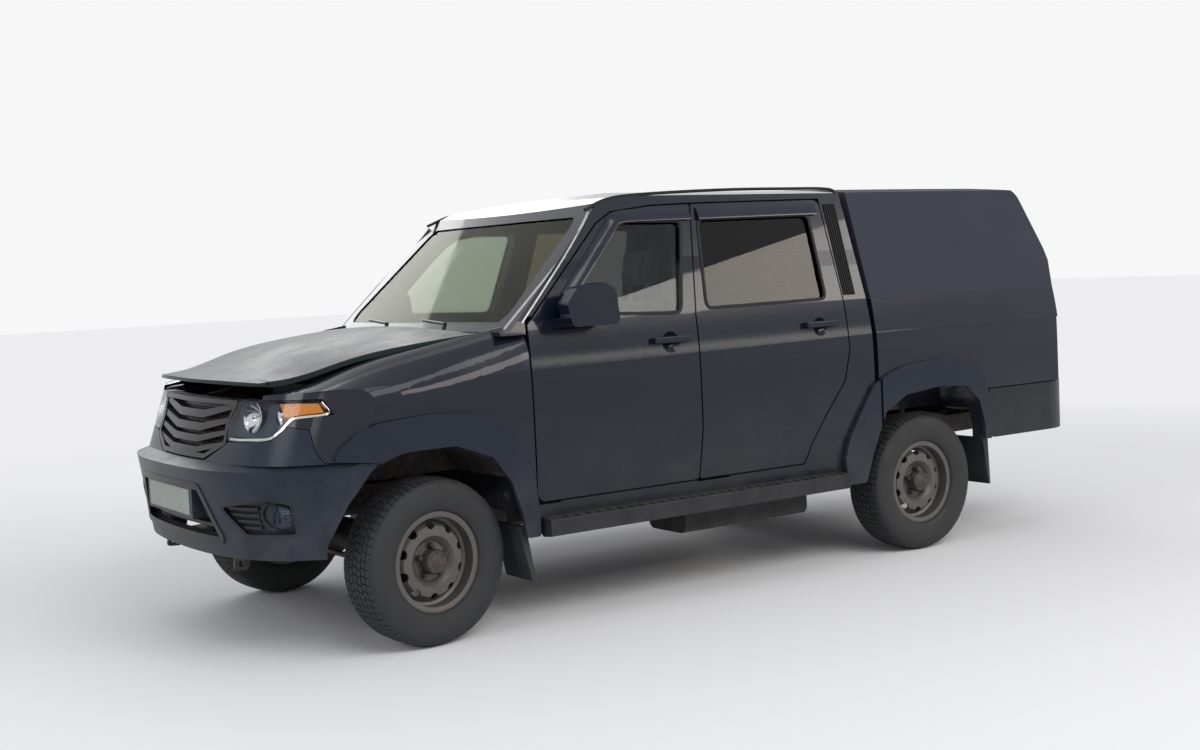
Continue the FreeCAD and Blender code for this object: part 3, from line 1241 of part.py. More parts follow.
def revolved(profile, centre):
    """Ring turned about the wheel's own axis, from offsets and radii."""
    points = [V(0, y, r) for y, r in profile]
    face = Part.Face(Part.makePolygon(points + [points[0]]))
    ring = face.revolve(V(0, 0, 0), V(0, 1, 0), 360)
    return ring.translated(centre)


def tyre(centre):
    outer = TYRE_PROFILE + [(-y, r) for y, r in reversed(TYRE_PROFILE[:-1])]
    inner = [(-68, RIM_SEAT_RADIUS + 0.4), (-70, 226), (-96, 262), (-100, 300), (-90, 338), (0, 350),
             (90, 338), (100, 300), (96, 262), (70, 226), (68, RIM_SEAT_RADIUS + 0.4)]
    return revolved(outer + inner, centre)


def rim(centre, side):
    seat = RIM_SEAT_RADIUS
    barrel = [(-89, 220), (-82, 220), (-80, seat), (-40, seat), (-30, 178), (20, 178), (34, seat - 2),
              (80, seat), (82, 220), (89, 220), (89, 212), (86, seat - 7), (30, seat - 9), (18, 170),
              (-34, 170), (-44, seat - 7), (-86, seat - 7), (-89, 212)]
    offset = WHEEL_OFFSET
    dish = [(offset, HUB_BORE_RADIUS), (offset, 92), (offset + 26, 116), (offset + 24, 150),
            (offset - 2, 172), (offset - 2, 178), (offset + 6, 178), (offset + 34, 154),
            (offset + 36, 112), (offset + 8, 84), (offset + 8, HUB_BORE_RADIUS)]
    body = revolved(barrel, V(0, 0, 0)).fuse(revolved(dish, V(0, 0, 0)))
    limit = rod(V(0, -20, 0), V(0, 100, 0), RIM_HOLE_LIMIT)
    hole = rod(V(0, -20, RIM_HOLE_CIRCLE), V(0, 100, RIM_HOLE_CIRCLE), RIM_HOLE_RADIUS).common(limit)
    for i in range(RIM_HOLES):
        body = body.cut(turned(hole, V(0, 0, 0), V(0, 1, 0), 360 / RIM_HOLES * i))
    hub = [(offset - 12, SPINDLE_RADIUS + 0.08), (offset - 12, 95), (offset, 95), (offset, 53),
           (offset + 62, 50), (offset + 66, 46), (offset + 66, 0), (offset + 46, 0),
           (offset + 46, SPINDLE_RADIUS + 0.08)]
    body = body.fuse(revolved(hub, V(0, 0, 0)))
    for i in range(STUD_COUNT):
        nut = Part.makeCylinder(10, 40, V(0, offset, STUD_CIRCLE_RADIUS), V(0, 1, 0))
        body = body.fuse(turned(nut, V(0, 0, 0), V(0, 1, 0), 360 / STUD_COUNT * i))
    if side < 0:
        body = mirrored(body)
    return body.translated(centre)


for end, x in (("front", FRONT_AXLE_X), ("rear", REAR_AXLE_X)):
    for name, side in (("left", 1), ("right", -1)):
        centre = V(x, side * WHEEL_Y, AXLE_Z)
        pair = [tyre(centre), rim(centre, side)]
        if end == "front":
            pair = [steered(piece, side) for piece in pair]
        add("tyre_%s_%s" % (end, name), pair[0])
        add("wheel_%s_%s" % (end, name), pair[1])

spare = tyre(V(0, 0, 0)).fuse(rim(V(0, 0, 0), 1))
spare = turned(spare, V(0, 0, 0), V(1, 0, 0), -90).translated(SPARE_CENTRE)
add("spare_wheel", spare)

# Cab interior
SEAT_X = 600
SEAT_Y = 370


def seat(y, width, x=SEAT_X):
    half = width / 2
    base = block(x - 240, x + 250, y - half + 40, y + half - 40, FLOOR_Z, 760)
    cushion = side_prism([(x - 260, 760), (x - 260, 880), (x + 250, 905), (x + 280, 840), (x + 250, 760)],
                         y - half, y + half, 25)
    back = side_prism([(x - 230, 872), (x - 270, 872), (x - 480, 1440), (x - 440, 1460), (x - 350, 1440),
                       (x - 130, 880)], y - half, y + half, 18)
    head = side_prism([(x - 480, 1500), (x - 500, 1680), (x - 410, 1690), (x - 380, 1500)],
                      y - 130, y + 130, 22)
    posts = [rod(V(x - 420, y + s * 70, 1430), V(x - 430, y + s * 70, 1510), 7) for s in (1, -1)]
    return fuse([base, cushion, back, head] + posts)


add("front_seats", Part.makeCompound(both_sides(seat(SEAT_Y, 500))))
bench_x = -250
bench = side_prism([(bench_x - 280, FLOOR_Z), (bench_x - 280, 850), (bench_x + 230, 880),
                    (bench_x + 250, 800), (bench_x + 160, FLOOR_Z)], -640, 640, 18)
bench_back = side_prism([(bench_x - 250, 820), (-820, 860), (-830, 1430), (-760, 1440),
                         (bench_x - 260, 1020)], -640, 640, 18)
heads = [side_prism([(-800, 1425), (-810, 1600), (-730, 1600), (-710, 1425)], y - 110, y + 110, 20)
         for y in (-380, 0, 380)]
add("rear_bench", fuse([bench, bench_back] + heads))
dash = side_prism([(FIREWALL_X, 850), (FIREWALL_X, 1300), (1130, 1335), (1000, 1320), (930, 1240),
                   (920, 1120), (1010, 930), (1100, 850)], -755, 755, 20)
dash = dash.fuse(block(560, 1080, -110, 110, FLOOR_Z, 900))
column_end = V(905, SEAT_Y, 1170)
wheel_centre = V(770, SEAT_Y, 1225)
steer_axis = (wheel_centre - column_end).normalize()
column = rod(column_end + V(60, 0, -25), wheel_centre - steer_axis * 60, 30)
dash = fuse([dash, column])
stub = rod(wheel_centre - steer_axis * 90, wheel_centre, 12 + RUNNING_GAP)
add("dashboard", dash.cut(stub))
WHEEL_RING_RADIUS = 190


def steering_wheel():
    ring = Part.makeTorus(WHEEL_RING_RADIUS, 15, wheel_centre, steer_axis)
    hub = rod(wheel_centre - steer_axis * 50, wheel_centre + steer_axis * 5, 55)
    stub = rod(wheel_centre - steer_axis * 89, wheel_centre, 12)
    spokes = []
    for degrees in (90, 210, 330):
        spoke = rod(wheel_centre, wheel_centre + V(0, WHEEL_RING_RADIUS, 0), 12)
        spokes.append(turned(spoke, wheel_centre, steer_axis, degrees - 90))
    return fuse([ring, hub, stub] + spokes)


add("steering_wheel", steering_wheel())

# Cowl, inner wings, radiator and door mirrors
cowl = side_prism([(FIREWALL_X + FIREWALL_THICKNESS, 1240), (1440, 1240), (1440, 1255), (1358, 1262),
                   (1350, 1322), (1330, 1336), (1290, 1336),
                   (1290, 1316), (FIREWALL_X + FIREWALL_THICKNESS, 1316)], -775, 775)
wiper_arms = []
for y0, y1 in ((420, -120), (-180, -690)):
    arm = rod(V(1345, y0, 1330), V(1330, y0, 1380), 10)
    wiper_arms.append(arm)
    wiper_arms.append(rod(V(1330, y0, 1375), V(1300, (y0 + y1) / 2, 1388), 7))
cowl_piece = fuse([cowl.cut(parts["cab_shell"])] + wiper_arms + hood_posts())
add("cowl", cowl_piece.cut(parts["cab_shell"]))


INNER_WING_Y = 468


def inner_wing():
    wall = side_prism([(1255, 560), (1255, 1240), (2290, 1060), (2290, 700), (2100, 640), (1985, 560)],
                      INNER_WING_Y, INNER_WING_Y + 12)
    wall = wall.cut(block(1100, 2400, 400, 600, 500, 700))
    liner = side_prism(offset_outline(FRONT_ARCH, 14), INNER_WING_Y, 915)
    liner = liner.cut(side_prism(FRONT_ARCH, 400, 1000, ARCH_RADIUS))
    liner = liner.common(block(1250, 2200, 300, 1000, 700, 1200))
    return fuse([wall, liner])


wing = inner_wing()
for name in ("fenders", "front_bumper", "cab_shell", "flares", "front_lamps", "grille"):
    wing = wing.cut(parts[name])
radiator = block(2215, 2262, -440, 440, 615, 1045)
add("inner_wings", Part.makeCompound(both_sides(wing) + [radiator]))


def mirror_housing():
    housing = side_prism([(772, 1345), (790, 1500), (850, 1538), (1000, 1520), (1058, 1450), (1030, 1345)],
                         968, 1050, 30)
    stalk = block(960, 1060, 895, 975, 1352, 1386)
    return housing.fuse(stalk).cut(front_door)


mirror_shape = mirror_housing()
add_pair("mirror", mirror_shape)
add("plates", Part.makeCompound([front_plate, rear_plate]))

# Write the pieces
os.makedirs("parts", exist_ok=True)
for name, shape in parts.items():
    if not shape.isValid():
        print(name, "is not valid")
    print(name, len(shape.Solids), round(shape.Volume / 1e6, 3))
    shape.exportStep("parts/" + name + ".step")
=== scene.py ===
import bmesh
import bpy
import math
from mathutils import Matrix, Vector


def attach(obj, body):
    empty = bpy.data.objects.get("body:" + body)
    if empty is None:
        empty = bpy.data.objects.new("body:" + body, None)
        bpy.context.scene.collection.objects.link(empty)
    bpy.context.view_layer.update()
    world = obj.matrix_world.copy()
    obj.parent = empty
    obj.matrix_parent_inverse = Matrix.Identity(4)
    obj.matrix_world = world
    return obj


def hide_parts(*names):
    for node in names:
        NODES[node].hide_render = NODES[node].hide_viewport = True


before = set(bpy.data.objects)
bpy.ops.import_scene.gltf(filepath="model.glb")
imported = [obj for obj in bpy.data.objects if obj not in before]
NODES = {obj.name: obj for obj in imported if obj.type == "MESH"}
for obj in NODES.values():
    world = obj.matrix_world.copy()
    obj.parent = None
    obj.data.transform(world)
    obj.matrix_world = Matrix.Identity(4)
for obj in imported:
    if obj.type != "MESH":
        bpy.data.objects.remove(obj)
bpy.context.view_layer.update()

# Sizes shared by several pieces, in metres
AXLE_Z = 0.367
WHEEL_Y = 0.800
FRONT_AXLE_X = 1.710
REAR_AXLE_X = -1.290
KINGPIN_Y = 0.700
STEER_REST = math.radians(8)
TYRE_RADIUS = 0.367
TREAD_DEPTH = 0.009


# Material helpers
def add_node(tree, kind, **inputs):
    """New node with some of its input sockets set by name."""
    node = tree.nodes.new(kind)
    for name, value in inputs.items():
        node.inputs[name.replace("_", " ")].default_value = value
    return node


def join(tree, source, target):
    """Link from one socket to another."""
    tree.links.new(source, target)


def math_node(tree, operation, first, second=None, clamp=False):
    """Math node whose inputs are sockets or plain numbers."""
    node = tree.nodes.new("ShaderNodeMath")
    node.operation = operation
    node.use_clamp = clamp
    for socket, value in zip(node.inputs, (first, second)):
        if value is None:
            continue
        if isinstance(value, (int, float)):
            socket.default_value = value
        else:
            join(tree, value, socket)
    return node.outputs[0]


def ramp(tree, value, low, high, invert=False):
    """Value mapped from low..high to 0..1, or to 1..0."""
    node = tree.nodes.new("ShaderNodeMapRange")
    for name, number in (("From Min", low), ("From Max", high)):
        if isinstance(number, (int, float)):
            node.inputs[name].default_value = number
        else:
            join(tree, number, node.inputs[name])
    node.inputs["To Min"].default_value = 1.0 if invert else 0.0
    node.inputs["To Max"].default_value = 0.0 if invert else 1.0
    join(tree, value, node.inputs["Value"])
    return node.outputs["Result"]


def mix_color(tree, factor, first, second):
    """Colour mix whose inputs are sockets or plain colours."""
    node = tree.nodes.new("ShaderNodeMix")
    node.data_type = "RGBA"
    sockets = (node.inputs[6], node.inputs[7])
    for socket, value in zip(sockets, (first, second)):
        if isinstance(value, tuple):
            socket.default_value = (*value, 1.0)
        else:
            join(tree, value, socket)
    if isinstance(factor, (int, float)):
        node.inputs[0].default_value = factor
    else:
        join(tree, factor, node.inputs[0])
    return node.outputs[2]


def mix_value(tree, factor, first, second):
    """Number mix between two values."""
    node = tree.nodes.new("ShaderNodeMix")
    node.data_type = "FLOAT"
    for socket, value in zip(node.inputs[:4], (factor, None, first, second)):
        if value is None:
            continue
        if isinstance(value, (int, float)):
            socket.default_value = value
        else:
            join(tree, value, socket)
    return node.outputs[0]


def coordinates(tree):
    """Texture coordinate node, mostly used for its object coordinates."""
    return tree.nodes.new("ShaderNodeTexCoord")


def noise(tree, vector, scale, detail=4.0, roughness=0.55):
    """Noise value at a place; its scale is a number or a socket."""
    node = add_node(tree, "ShaderNodeTexNoise", Detail=detail, Roughness=roughness)
    join(tree, vector, node.inputs["Vector"])
    if isinstance(scale, (int, float)):
        node.inputs["Scale"].default_value = scale
    else:
        join(tree, scale, node.inputs["Scale"])
    return node.outputs["Fac"]


def new_group(name, inputs, outputs):
    """Shader node group with float inputs and outputs; gives its tree, input and output nodes."""
    tree = bpy.data.node_groups.new(name, "ShaderNodeTree")
    for label, default in inputs:
        socket = tree.interface.new_socket(label, in_out="INPUT", socket_type="NodeSocketFloat")
        socket.default_value = default
    for label in outputs:
        tree.interface.new_socket(label, in_out="OUTPUT", socket_type="NodeSocketFloat")
    return tree, tree.nodes.new("NodeGroupInput"), tree.nodes.new("NodeGroupOutput")


def make_dust_group():
    """Road dust: thick near the ground, thin above, and settled on what faces up."""
    tree, given, out = new_group("Road dust", [("Low", 0.4), ("High", 1.1), ("Settled", 0.3),
                                               ("Scale", 6.0)], ["Mask"])
    place = coordinates(tree)
    split = tree.nodes.new("ShaderNodeSeparateXYZ")
    join(tree, place.outputs["Object"], split.inputs[0])
    facing = tree.nodes.new("ShaderNodeSeparateXYZ")
    join(tree, place.outputs["Normal"], facing.inputs[0])
    height = ramp(tree, split.outputs["Z"], given.outputs["Low"], given.outputs["High"], invert=True)
    cloud = noise(tree, place.outputs["Object"], given.outputs["Scale"], 6.0, 0.62)
    cloud = ramp(tree, cloud, 0.35, 0.72)
    low_dust = math_node(tree, "MULTIPLY", height, math_node(tree, "ADD", cloud, 0.35))
    upward = ramp(tree, facing.outputs["Z"], 0.35, 1.0)
    settled = math_node(tree, "MULTIPLY", math_node(tree, "MULTIPLY", upward, given.outputs["Settled"]),
                        math_node(tree, "ADD", cloud, 0.4))
    join(tree, math_node(tree, "ADD", low_dust, settled, clamp=True), out.inputs["Mask"])
    return tree


def make_grain_group():
    """Fine moulded grain as a height."""
    tree, given, out = new_group("Moulded grain", [("Scale", 900.0)], ["Height"])
    place = coordinates(tree)
    cells = tree.nodes.new("ShaderNodeTexVoronoi")
    join(tree, place.outputs["Object"], cells.inputs["Vector"])
    join(tree, given.outputs["Scale"], cells.inputs["Scale"])
    soft = noise(tree, place.outputs["Object"], given.outputs["Scale"], 2.0)
    join(tree, math_node(tree, "ADD", cells.outputs["Distance"], math_node(tree, "MULTIPLY", soft, 0.6)),
         out.inputs["Height"])
    return tree


def make_speck_group():
    """Dried splashes: many small pale specks."""
    tree, given, out = new_group("Dried splashes", [("Scale", 120.0), ("Cover", 0.3)], ["Mask"])
    place = coordinates(tree)
    cells = tree.nodes.new("ShaderNodeTexVoronoi")
    join(tree, place.outputs["Object"], cells.inputs["Vector"])
    join(tree, given.outputs["Scale"], cells.inputs["Scale"])
    spots = ramp(tree, cells.outputs["Distance"], 0.12, 0.34, invert=True)
    patches = ramp(tree, noise(tree, place.outputs["Object"], 9.0, 5.0), 0.38, 0.66)
    mask = math_node(tree, "MULTIPLY", spots, math_node(tree, "MULTIPLY", patches, given.outputs["Cover"]))
    join(tree, mask, out.inputs["Mask"])
    return tree


# Pressed lines of the body sides, in metres
LINE_HEIGHT = 1.181
LINE_SLOPE = -0.0160
LINE_REACH = 0.075
LINE_RISE = 0.010
FOOT_LOW = 0.690
FOOT_HIGH = 0.815
FOOT_RISE = 0.010
SIDES_FROM = 0.84
SIDES_TO = 0.86


def make_crease_group():
    """Height of the pressed lines along the body's sides: one under the handles, one along the foot."""
    tree, _, result = new_group("Pressed lines", [], ["Height"])
    place = tree.nodes.new("ShaderNodeSeparateXYZ")
    join(tree, coordinates(tree).outputs["Object"], place.inputs[0])
    fall = math_node(tree, "MULTIPLY", place.outputs["X"], LINE_SLOPE)
    line = math_node(tree, "ADD", fall, LINE_HEIGHT)
    away = math_node(tree, "ABSOLUTE", math_node(tree, "SUBTRACT", place.outputs["Z"], line))
    near = ramp(tree, away, 0.0, LINE_REACH, invert=True)
    crest = math_node(tree, "MULTIPLY", math_node(tree, "POWER", near, 2.0), LINE_RISE)
    foot = math_node(tree, "MULTIPLY", ramp(tree, place.outputs["Z"], FOOT_LOW, FOOT_HIGH), FOOT_RISE)
    side = ramp(tree, math_node(tree, "ABSOLUTE", place.outputs["Y"]), SIDES_FROM, SIDES_TO)
    both = math_node(tree, "MULTIPLY", math_node(tree, "ADD", crest, foot), side)
    join(tree, both, result.inputs["Height"])
    return tree


DUST = make_dust_group()
CREASES = make_crease_group()
GRAIN = make_grain_group()
SPECKS = make_speck_group()


def use_group(tree, group, **values):
    """A node group placed in a tree, with some of its inputs set."""
    node = tree.nodes.new("ShaderNodeGroup")
    node.node_tree = group
    for name, value in values.items():
        node.inputs[name].default_value = value
    return node


def bump(tree, height, strength, distance):
    """Normal that follows a height."""
    node = add_node(tree, "ShaderNodeBump", Strength=strength, Distance=distance)
    join(tree, height, node.inputs["Height"])
    return node.outputs["Normal"]


def new_material(name):
    """New material with its tree and its surface node."""
    material = bpy.data.materials.new(name)
    material.use_nodes = True
    return material, material.node_tree, material.node_tree.nodes["Principled BSDF"]


DUST_COLOR = (0.085, 0.082, 0.080)


def car_paint(name, color, low=0.45, high=1.0, settled=0.12, dust_amount=0.38, coat=0.40, shine=0.15):
    """Deep gloss paint with a clear coat, small hue shifts and road dust."""
    material, tree, surface = new_material(name)
    place = coordinates(tree).outputs["Object"]
    shade = noise(tree, place, 1.7, 3.0)
    paint = mix_color(tree, shade, tuple(c * 0.8 for c in color), tuple(c * 1.25 for c in color))
    dust = use_group(tree, DUST, Low=low, High=high, Settled=settled, Scale=5.0)
    mask = math_node(tree, "MULTIPLY", dust.outputs["Mask"], dust_amount)
    join(tree, mix_color(tree, mask, paint, DUST_COLOR), surface.inputs["Base Color"])
    join(tree, mix_value(tree, mask, 0.20, 0.75), surface.inputs["Roughness"])
    join(tree, math_node(tree, "SUBTRACT", coat, mask, clamp=True), surface.inputs["Coat Weight"])
    surface.inputs["Coat Roughness"].default_value = 0.03
    surface.inputs["Specular IOR Level"].default_value = shine
    ripple = bump(tree, noise(tree, place, 26.0, 2.0), 0.02, 0.02)
    pressed = bump(tree, use_group(tree, CREASES).outputs["Height"], 1.0, 1.0)
    join(tree, ripple, pressed.node.inputs["Normal"])
    join(tree, pressed, surface.inputs["Normal"])
    return material


def plastic(name, color, roughness, grain=700.0, strength=0.25, low=0.3, high=0.9, settled=0.4,
            specks=0.0, dust_amount=0.40):
    """Moulded plastic with grain, dust and, where asked, dried splashes."""
    material, tree, surface = new_material(name)
    place = coordinates(tree).outputs["Object"]
    tone = noise(tree, place, 3.0, 3.0)
    base = mix_color(tree, tone, tuple(c * 0.8 for c in color), tuple(c * 1.2 for c in color))
    dust = use_group(tree, DUST, Low=low, High=high, Settled=settled, Scale=7.0)
    mask = math_node(tree, "MULTIPLY", dust.outputs["Mask"], dust_amount)
    if specks:
        spots = use_group(tree, SPECKS, Scale=150.0, Cover=specks)
        mask = math_node(tree, "MAXIMUM", mask, spots.outputs["Mask"])
    join(tree, mix_color(tree, mask, base, DUST_COLOR), surface.inputs["Base Color"])
    join(tree, mix_value(tree, mask, roughness, 0.85), surface.inputs["Roughness"])
    surface.inputs["Specular IOR Level"].default_value = 0.22
    height = use_group(tree, GRAIN, Scale=grain).outputs["Height"]
    join(tree, bump(tree, height, strength, 0.0006), surface.inputs["Normal"])
    return material


def metal(name, color, roughness, metallic=1.0, rust=0.0, dust_amount=0.4, low=0.2, high=1.0):
    """Metal with uneven gloss, rust blotches and dust."""
    material, tree, surface = new_material(name)
    place = coordinates(tree).outputs["Object"]
    tone = noise(tree, place, 14.0, 5.0)
    base = mix_color(tree, tone, tuple(c * 0.75 for c in color), tuple(c * 1.2 for c in color))
    if rust:
        patches = ramp(tree, noise(tree, place, 22.0, 8.0, 0.7), 0.48, 0.62)
        blotch = math_node(tree, "MULTIPLY", patches, rust)
        base = mix_color(tree, blotch, base, (0.13, 0.055, 0.025))
        join(tree, math_node(tree, "MULTIPLY", math_node(tree, "SUBTRACT", 1.0, blotch), metallic),
             surface.inputs["Metallic"])
    else:
        surface.inputs["Metallic"].default_value = metallic
    dust = use_group(tree, DUST, Low=low, High=high, Settled=0.3, Scale=9.0)
    mask = math_node(tree, "MULTIPLY", dust.outputs["Mask"], dust_amount)
    join(tree, mix_color(tree, mask, base, DUST_COLOR), surface.inputs["Base Color"])
    dull = min(roughness * 1.3, 1.0)
    join(tree, mix_value(tree, tone, roughness * 0.8, dull), surface.inputs["Roughness"])
    join(tree, bump(tree, noise(tree, place, 220.0, 4.0), 0.12, 0.001), surface.inputs["Normal"])
    return material


def glass(name, color, smear=0.12, transmission=1.0, ior=1.30):
    """Window glass with a faint film of dust."""
    material, tree, surface = new_material(name)
    place = coordinates(tree).outputs["Object"]
    film = ramp(tree, noise(tree, place, 4.0, 6.0, 0.65), 0.40, 0.75)
    join(tree, mix_color(tree, math_node(tree, "MULTIPLY", film, smear), color, (0.55, 0.52, 0.45)),
         surface.inputs["Base Color"])
    join(tree, mix_value(tree, film, 0.01, 0.01 + smear * 0.3), surface.inputs["Roughness"])
    surface.inputs["Transmission Weight"].default_value = transmission
    surface.inputs["IOR"].default_value = ior
    return material


PAINT_COLOR = (0.006, 0.009, 0.018)
PAINT = car_paint("body paint", PAINT_COLOR)
# Hood: the body's navy black lightened to greenish grey, with no clear coat and little shine. The lighter
# colour is a painted reflection of the pale sky on the upward-facing hood; its settled dust is real dust.
HOOD_PAINT_WITH_PAINTED_REFLECTION = car_paint("hood paint with painted reflection", (0.026, 0.034, 0.036), settled=0.45, dust_amount=0.45, coat=0.0,
                       shine=0.03)


def canopy_material():
    """Matte textured shell above the crease, gloss paint below it."""
    material, tree, surface = new_material("canopy skin")
    place = coordinates(tree).outputs["Object"]
    split = tree.nodes.new("ShaderNodeSeparateXYZ")
    join(tree, place, split.inputs[0])
    upper = ramp(tree, split.outputs["Z"], 1.373, 1.377)
    tone = noise(tree, place, 2.2, 5.0)
    matte = mix_color(tree, tone, (0.024, 0.027, 0.040), (0.034, 0.038, 0.054))
    shade = noise(tree, place, 1.7, 3.0)
    gloss = mix_color(tree, shade, tuple(c * 0.8 for c in PAINT_COLOR), tuple(c * 1.3 for c in PAINT_COLOR))
    dust = use_group(tree, DUST, Low=0.6, High=1.3, Settled=0.5, Scale=4.0)
    mask = math_node(tree, "MULTIPLY", dust.outputs["Mask"], 0.22)
    color = mix_color(tree, upper, gloss, matte)
    join(tree, mix_color(tree, mask, color, DUST_COLOR), surface.inputs["Base Color"])
    join(tree, mix_value(tree, upper, 0.22, 0.62), surface.inputs["Roughness"])
    join(tree, math_node(tree, "SUBTRACT", 0.3, upper, clamp=True), surface.inputs["Coat Weight"])
    surface.inputs["Specular IOR Level"].default_value = 0.2
    surface.inputs["Coat Roughness"].default_value = 0.06
    height = math_node(tree, "MULTIPLY", use_group(tree, GRAIN, Scale=420.0).outputs["Height"], upper)
    join(tree, bump(tree, height, 0.5, 0.0012), surface.inputs["Normal"])
    return material


CANOPY = canopy_material()
TRIM = plastic("trim plastic", (0.010, 0.015, 0.026), 0.36, 650.0, 0.15, specks=0.18)
BOARD = plastic("board plastic", (0.012, 0.013, 0.017), 0.42, 500.0, 0.3, low=0.35, high=0.75, settled=0.6)
BUMPER = plastic("bumper skin", (0.008, 0.016, 0.032), 0.24, 900.0, 0.06, low=0.5, high=1.1, settled=0.2,
                 specks=0.45)
REAR_BUMPER = plastic("rear bumper skin", (0.013, 0.015, 0.022), 0.34, 900.0, 0.1, specks=0.2)
GRILLE = plastic("grille plastic", (0.016, 0.017, 0.020), 0.28, 900.0, 0.05, settled=0.3)
INSIDE = plastic("cabin plastic", (0.055, 0.057, 0.062), 0.6, 500.0, 0.4, settled=0.1, dust_amount=0.2)
WINDOW = glass("clear window", (0.42, 0.50, 0.55), smear=0.04)
SCREEN = glass("windscreen glass", (0.50, 0.53, 0.34), smear=0.35, ior=1.12)
DARK_WINDOW = glass("tinted window", (0.12, 0.10, 0.09), smear=0.02)
FRAME_BLACK = metal("frame paint", (0.020, 0.020, 0.021), 0.55, 0.3, rust=0.5)
IRON = metal("cast iron", (0.035, 0.034, 0.033), 0.6, 0.7, rust=0.7)
ENGINE = metal("engine block", (0.10, 0.10, 0.10), 0.5, 0.8, rust=0.2)
PIPE = metal("exhaust steel", (0.22, 0.19, 0.16), 0.45, 1.0, rust=0.8)
TANK = plastic("tank plastic", (0.016, 0.016, 0.017), 0.55, 300.0, 0.4)
WHEEL = metal("wheel steel", (0.115, 0.105, 0.095), 0.42, 0.35, rust=0.15, dust_amount=0.5, low=-0.5,
              high=1.2)
LAMP = glass("lamp lens", (0.95, 0.96, 0.97), smear=0.05, ior=1.25)
TAIL = glass("tail lens", (0.55, 0.02, 0.015), smear=0.08, transmission=0.4)
PLATE = metal("blank plate", (0.30, 0.34, 0.30), 0.45, 0.1, dust_amount=0.3)


def tyre_rubber():
    """Worn rubber: near-black with fine grain and cloudy patches of paler grey dust."""
    material, tree, surface = new_material("tyre rubber")
    place = coordinates(tree).outputs["Object"]
    cloud = ramp(tree, noise(tree, place, 18.0, 7.0, 0.65), 0.35, 0.7)
    fine = noise(tree, place, 260.0, 3.0)
    rubber = mix_color(tree, fine, (0.010, 0.011, 0.012), (0.018, 0.019, 0.021))
    mask = math_node(tree, "MULTIPLY", cloud, 0.35)
    join(tree, mix_color(tree, mask, rubber, (0.050, 0.050, 0.052)), surface.inputs["Base Color"])
    join(tree, mix_value(tree, cloud, 0.62, 0.9), surface.inputs["Roughness"])
    join(tree, bump(tree, fine, 0.3, 0.0008), surface.inputs["Normal"])
    return material


def seat_cloth():
    """Woven seat cloth: two crossed sets of threads."""
    material, tree, surface = new_material("seat cloth")
    place = coordinates(tree).outputs["Object"]
    waves = []
    for direction in ("Y", "Z"):
        wave = tree.nodes.new("ShaderNodeTexWave")
        wave.wave_type = "BANDS"
        wave.bands_direction = direction
        wave.inputs["Scale"].default_value = 60.0
        wave.inputs["Distortion"].default_value = 1.0
        join(tree, place, wave.inputs["Vector"])
        waves.append(wave.outputs["Fac"])
    weave = math_node(tree, "MULTIPLY", waves[0], waves[1])
    tone = noise(tree, place, 5.0, 4.0)
    base = mix_color(tree, tone, (0.045, 0.047, 0.052), (0.075, 0.078, 0.084))
    join(tree, mix_color(tree, weave, base, (0.075, 0.078, 0.088)), surface.inputs["Base Color"])
    surface.inputs["Roughness"].default_value = 0.9
    surface.inputs["Sheen Weight"].default_value = 0.3
    join(tree, bump(tree, weave, 0.5, 0.001), surface.inputs["Normal"])
    return material


RUBBER = tyre_rubber()
CLOTH = seat_cloth()

NODE_MATERIALS = {
    # The hood takes the paint whose lighter colour is a painted reflection of the sky.
    "hood": HOOD_PAINT_WITH_PAINTED_REFLECTION, "canopy": CANOPY, "canopy_hatch": CANOPY, "canopy_glass": DARK_WINDOW,
    "cab_glass": SCREEN, "front_bumper": BUMPER, "rear_bumper": REAR_BUMPER, "grille": GRILLE,
    "front_lamps": LAMP, "tail_lamps": TAIL, "flares": TRIM, "running_boards": BOARD,
    "frame_rail_left": FRAME_BLACK, "frame_rail_right": FRAME_BLACK, "frame_crossmembers": FRAME_BLACK,
    "suspension": FRAME_BLACK, "inner_wings": FRAME_BLACK, "engine": ENGINE, "driveline": IRON,
    "front_axle": IRON, "rear_axle": IRON, "knuckle_left": IRON, "knuckle_right": IRON, "tie_rod": IRON,
    "exhaust": PIPE, "fuel_tank": TANK, "spare_wheel": RUBBER, "front_seats": CLOTH, "rear_bench": CLOTH,
    "dashboard": INSIDE, "steering_wheel": INSIDE, "cowl": GRILLE, "plates": PLATE,
    "door_glass_front_left": WINDOW, "door_glass_front_right": WINDOW,
    "door_glass_rear_left": DARK_WINDOW, "door_glass_rear_right": DARK_WINDOW,
}


def material_for(name):
    """Material of a CAD node by its name."""
    if name in NODE_MATERIALS:
        return NODE_MATERIALS[name]
    if name.startswith("tyre_"):
        return RUBBER
    if name.startswith("wheel_"):
        return WHEEL
    return PAINT


for name, piece in NODES.items():
    piece.data.materials.clear()
    piece.data.materials.append(material_for(name))


# Mesh helpers
def finish_mesh(shape, name, material, smooth_angle=None):
    """Closes a bmesh into an object at the origin, with its faces pointing outwards."""
    bmesh.ops.recalc_face_normals(shape, faces=shape.faces)
    data = bpy.data.meshes.new(name)
    shape.to_mesh(data)
    shape.free()
    if smooth_angle is not None:
        data.shade_smooth()
        data.set_sharp_from_angle(angle=math.radians(smooth_angle))
    piece = bpy.data.objects.new(name, data)
    bpy.context.scene.collection.objects.link(piece)
    data.materials.append(material)
    return piece


def add_ring(shape, profile, steps):
    """Spins a profile of (offset along Y, radius) points about the Y axis."""
    points = [shape.verts.new((0.0, y, r)) for y, r in profile]
    edges = [shape.edges.new((a, b)) for a, b in zip(points, points[1:] + points[:1])]
    bmesh.ops.spin(shape, geom=points + edges, cent=(0, 0, 0), axis=(0, 1, 0), dvec=(0, 0, 0),
                   angle=math.tau, steps=steps, use_merge=True, use_duplicate=False)


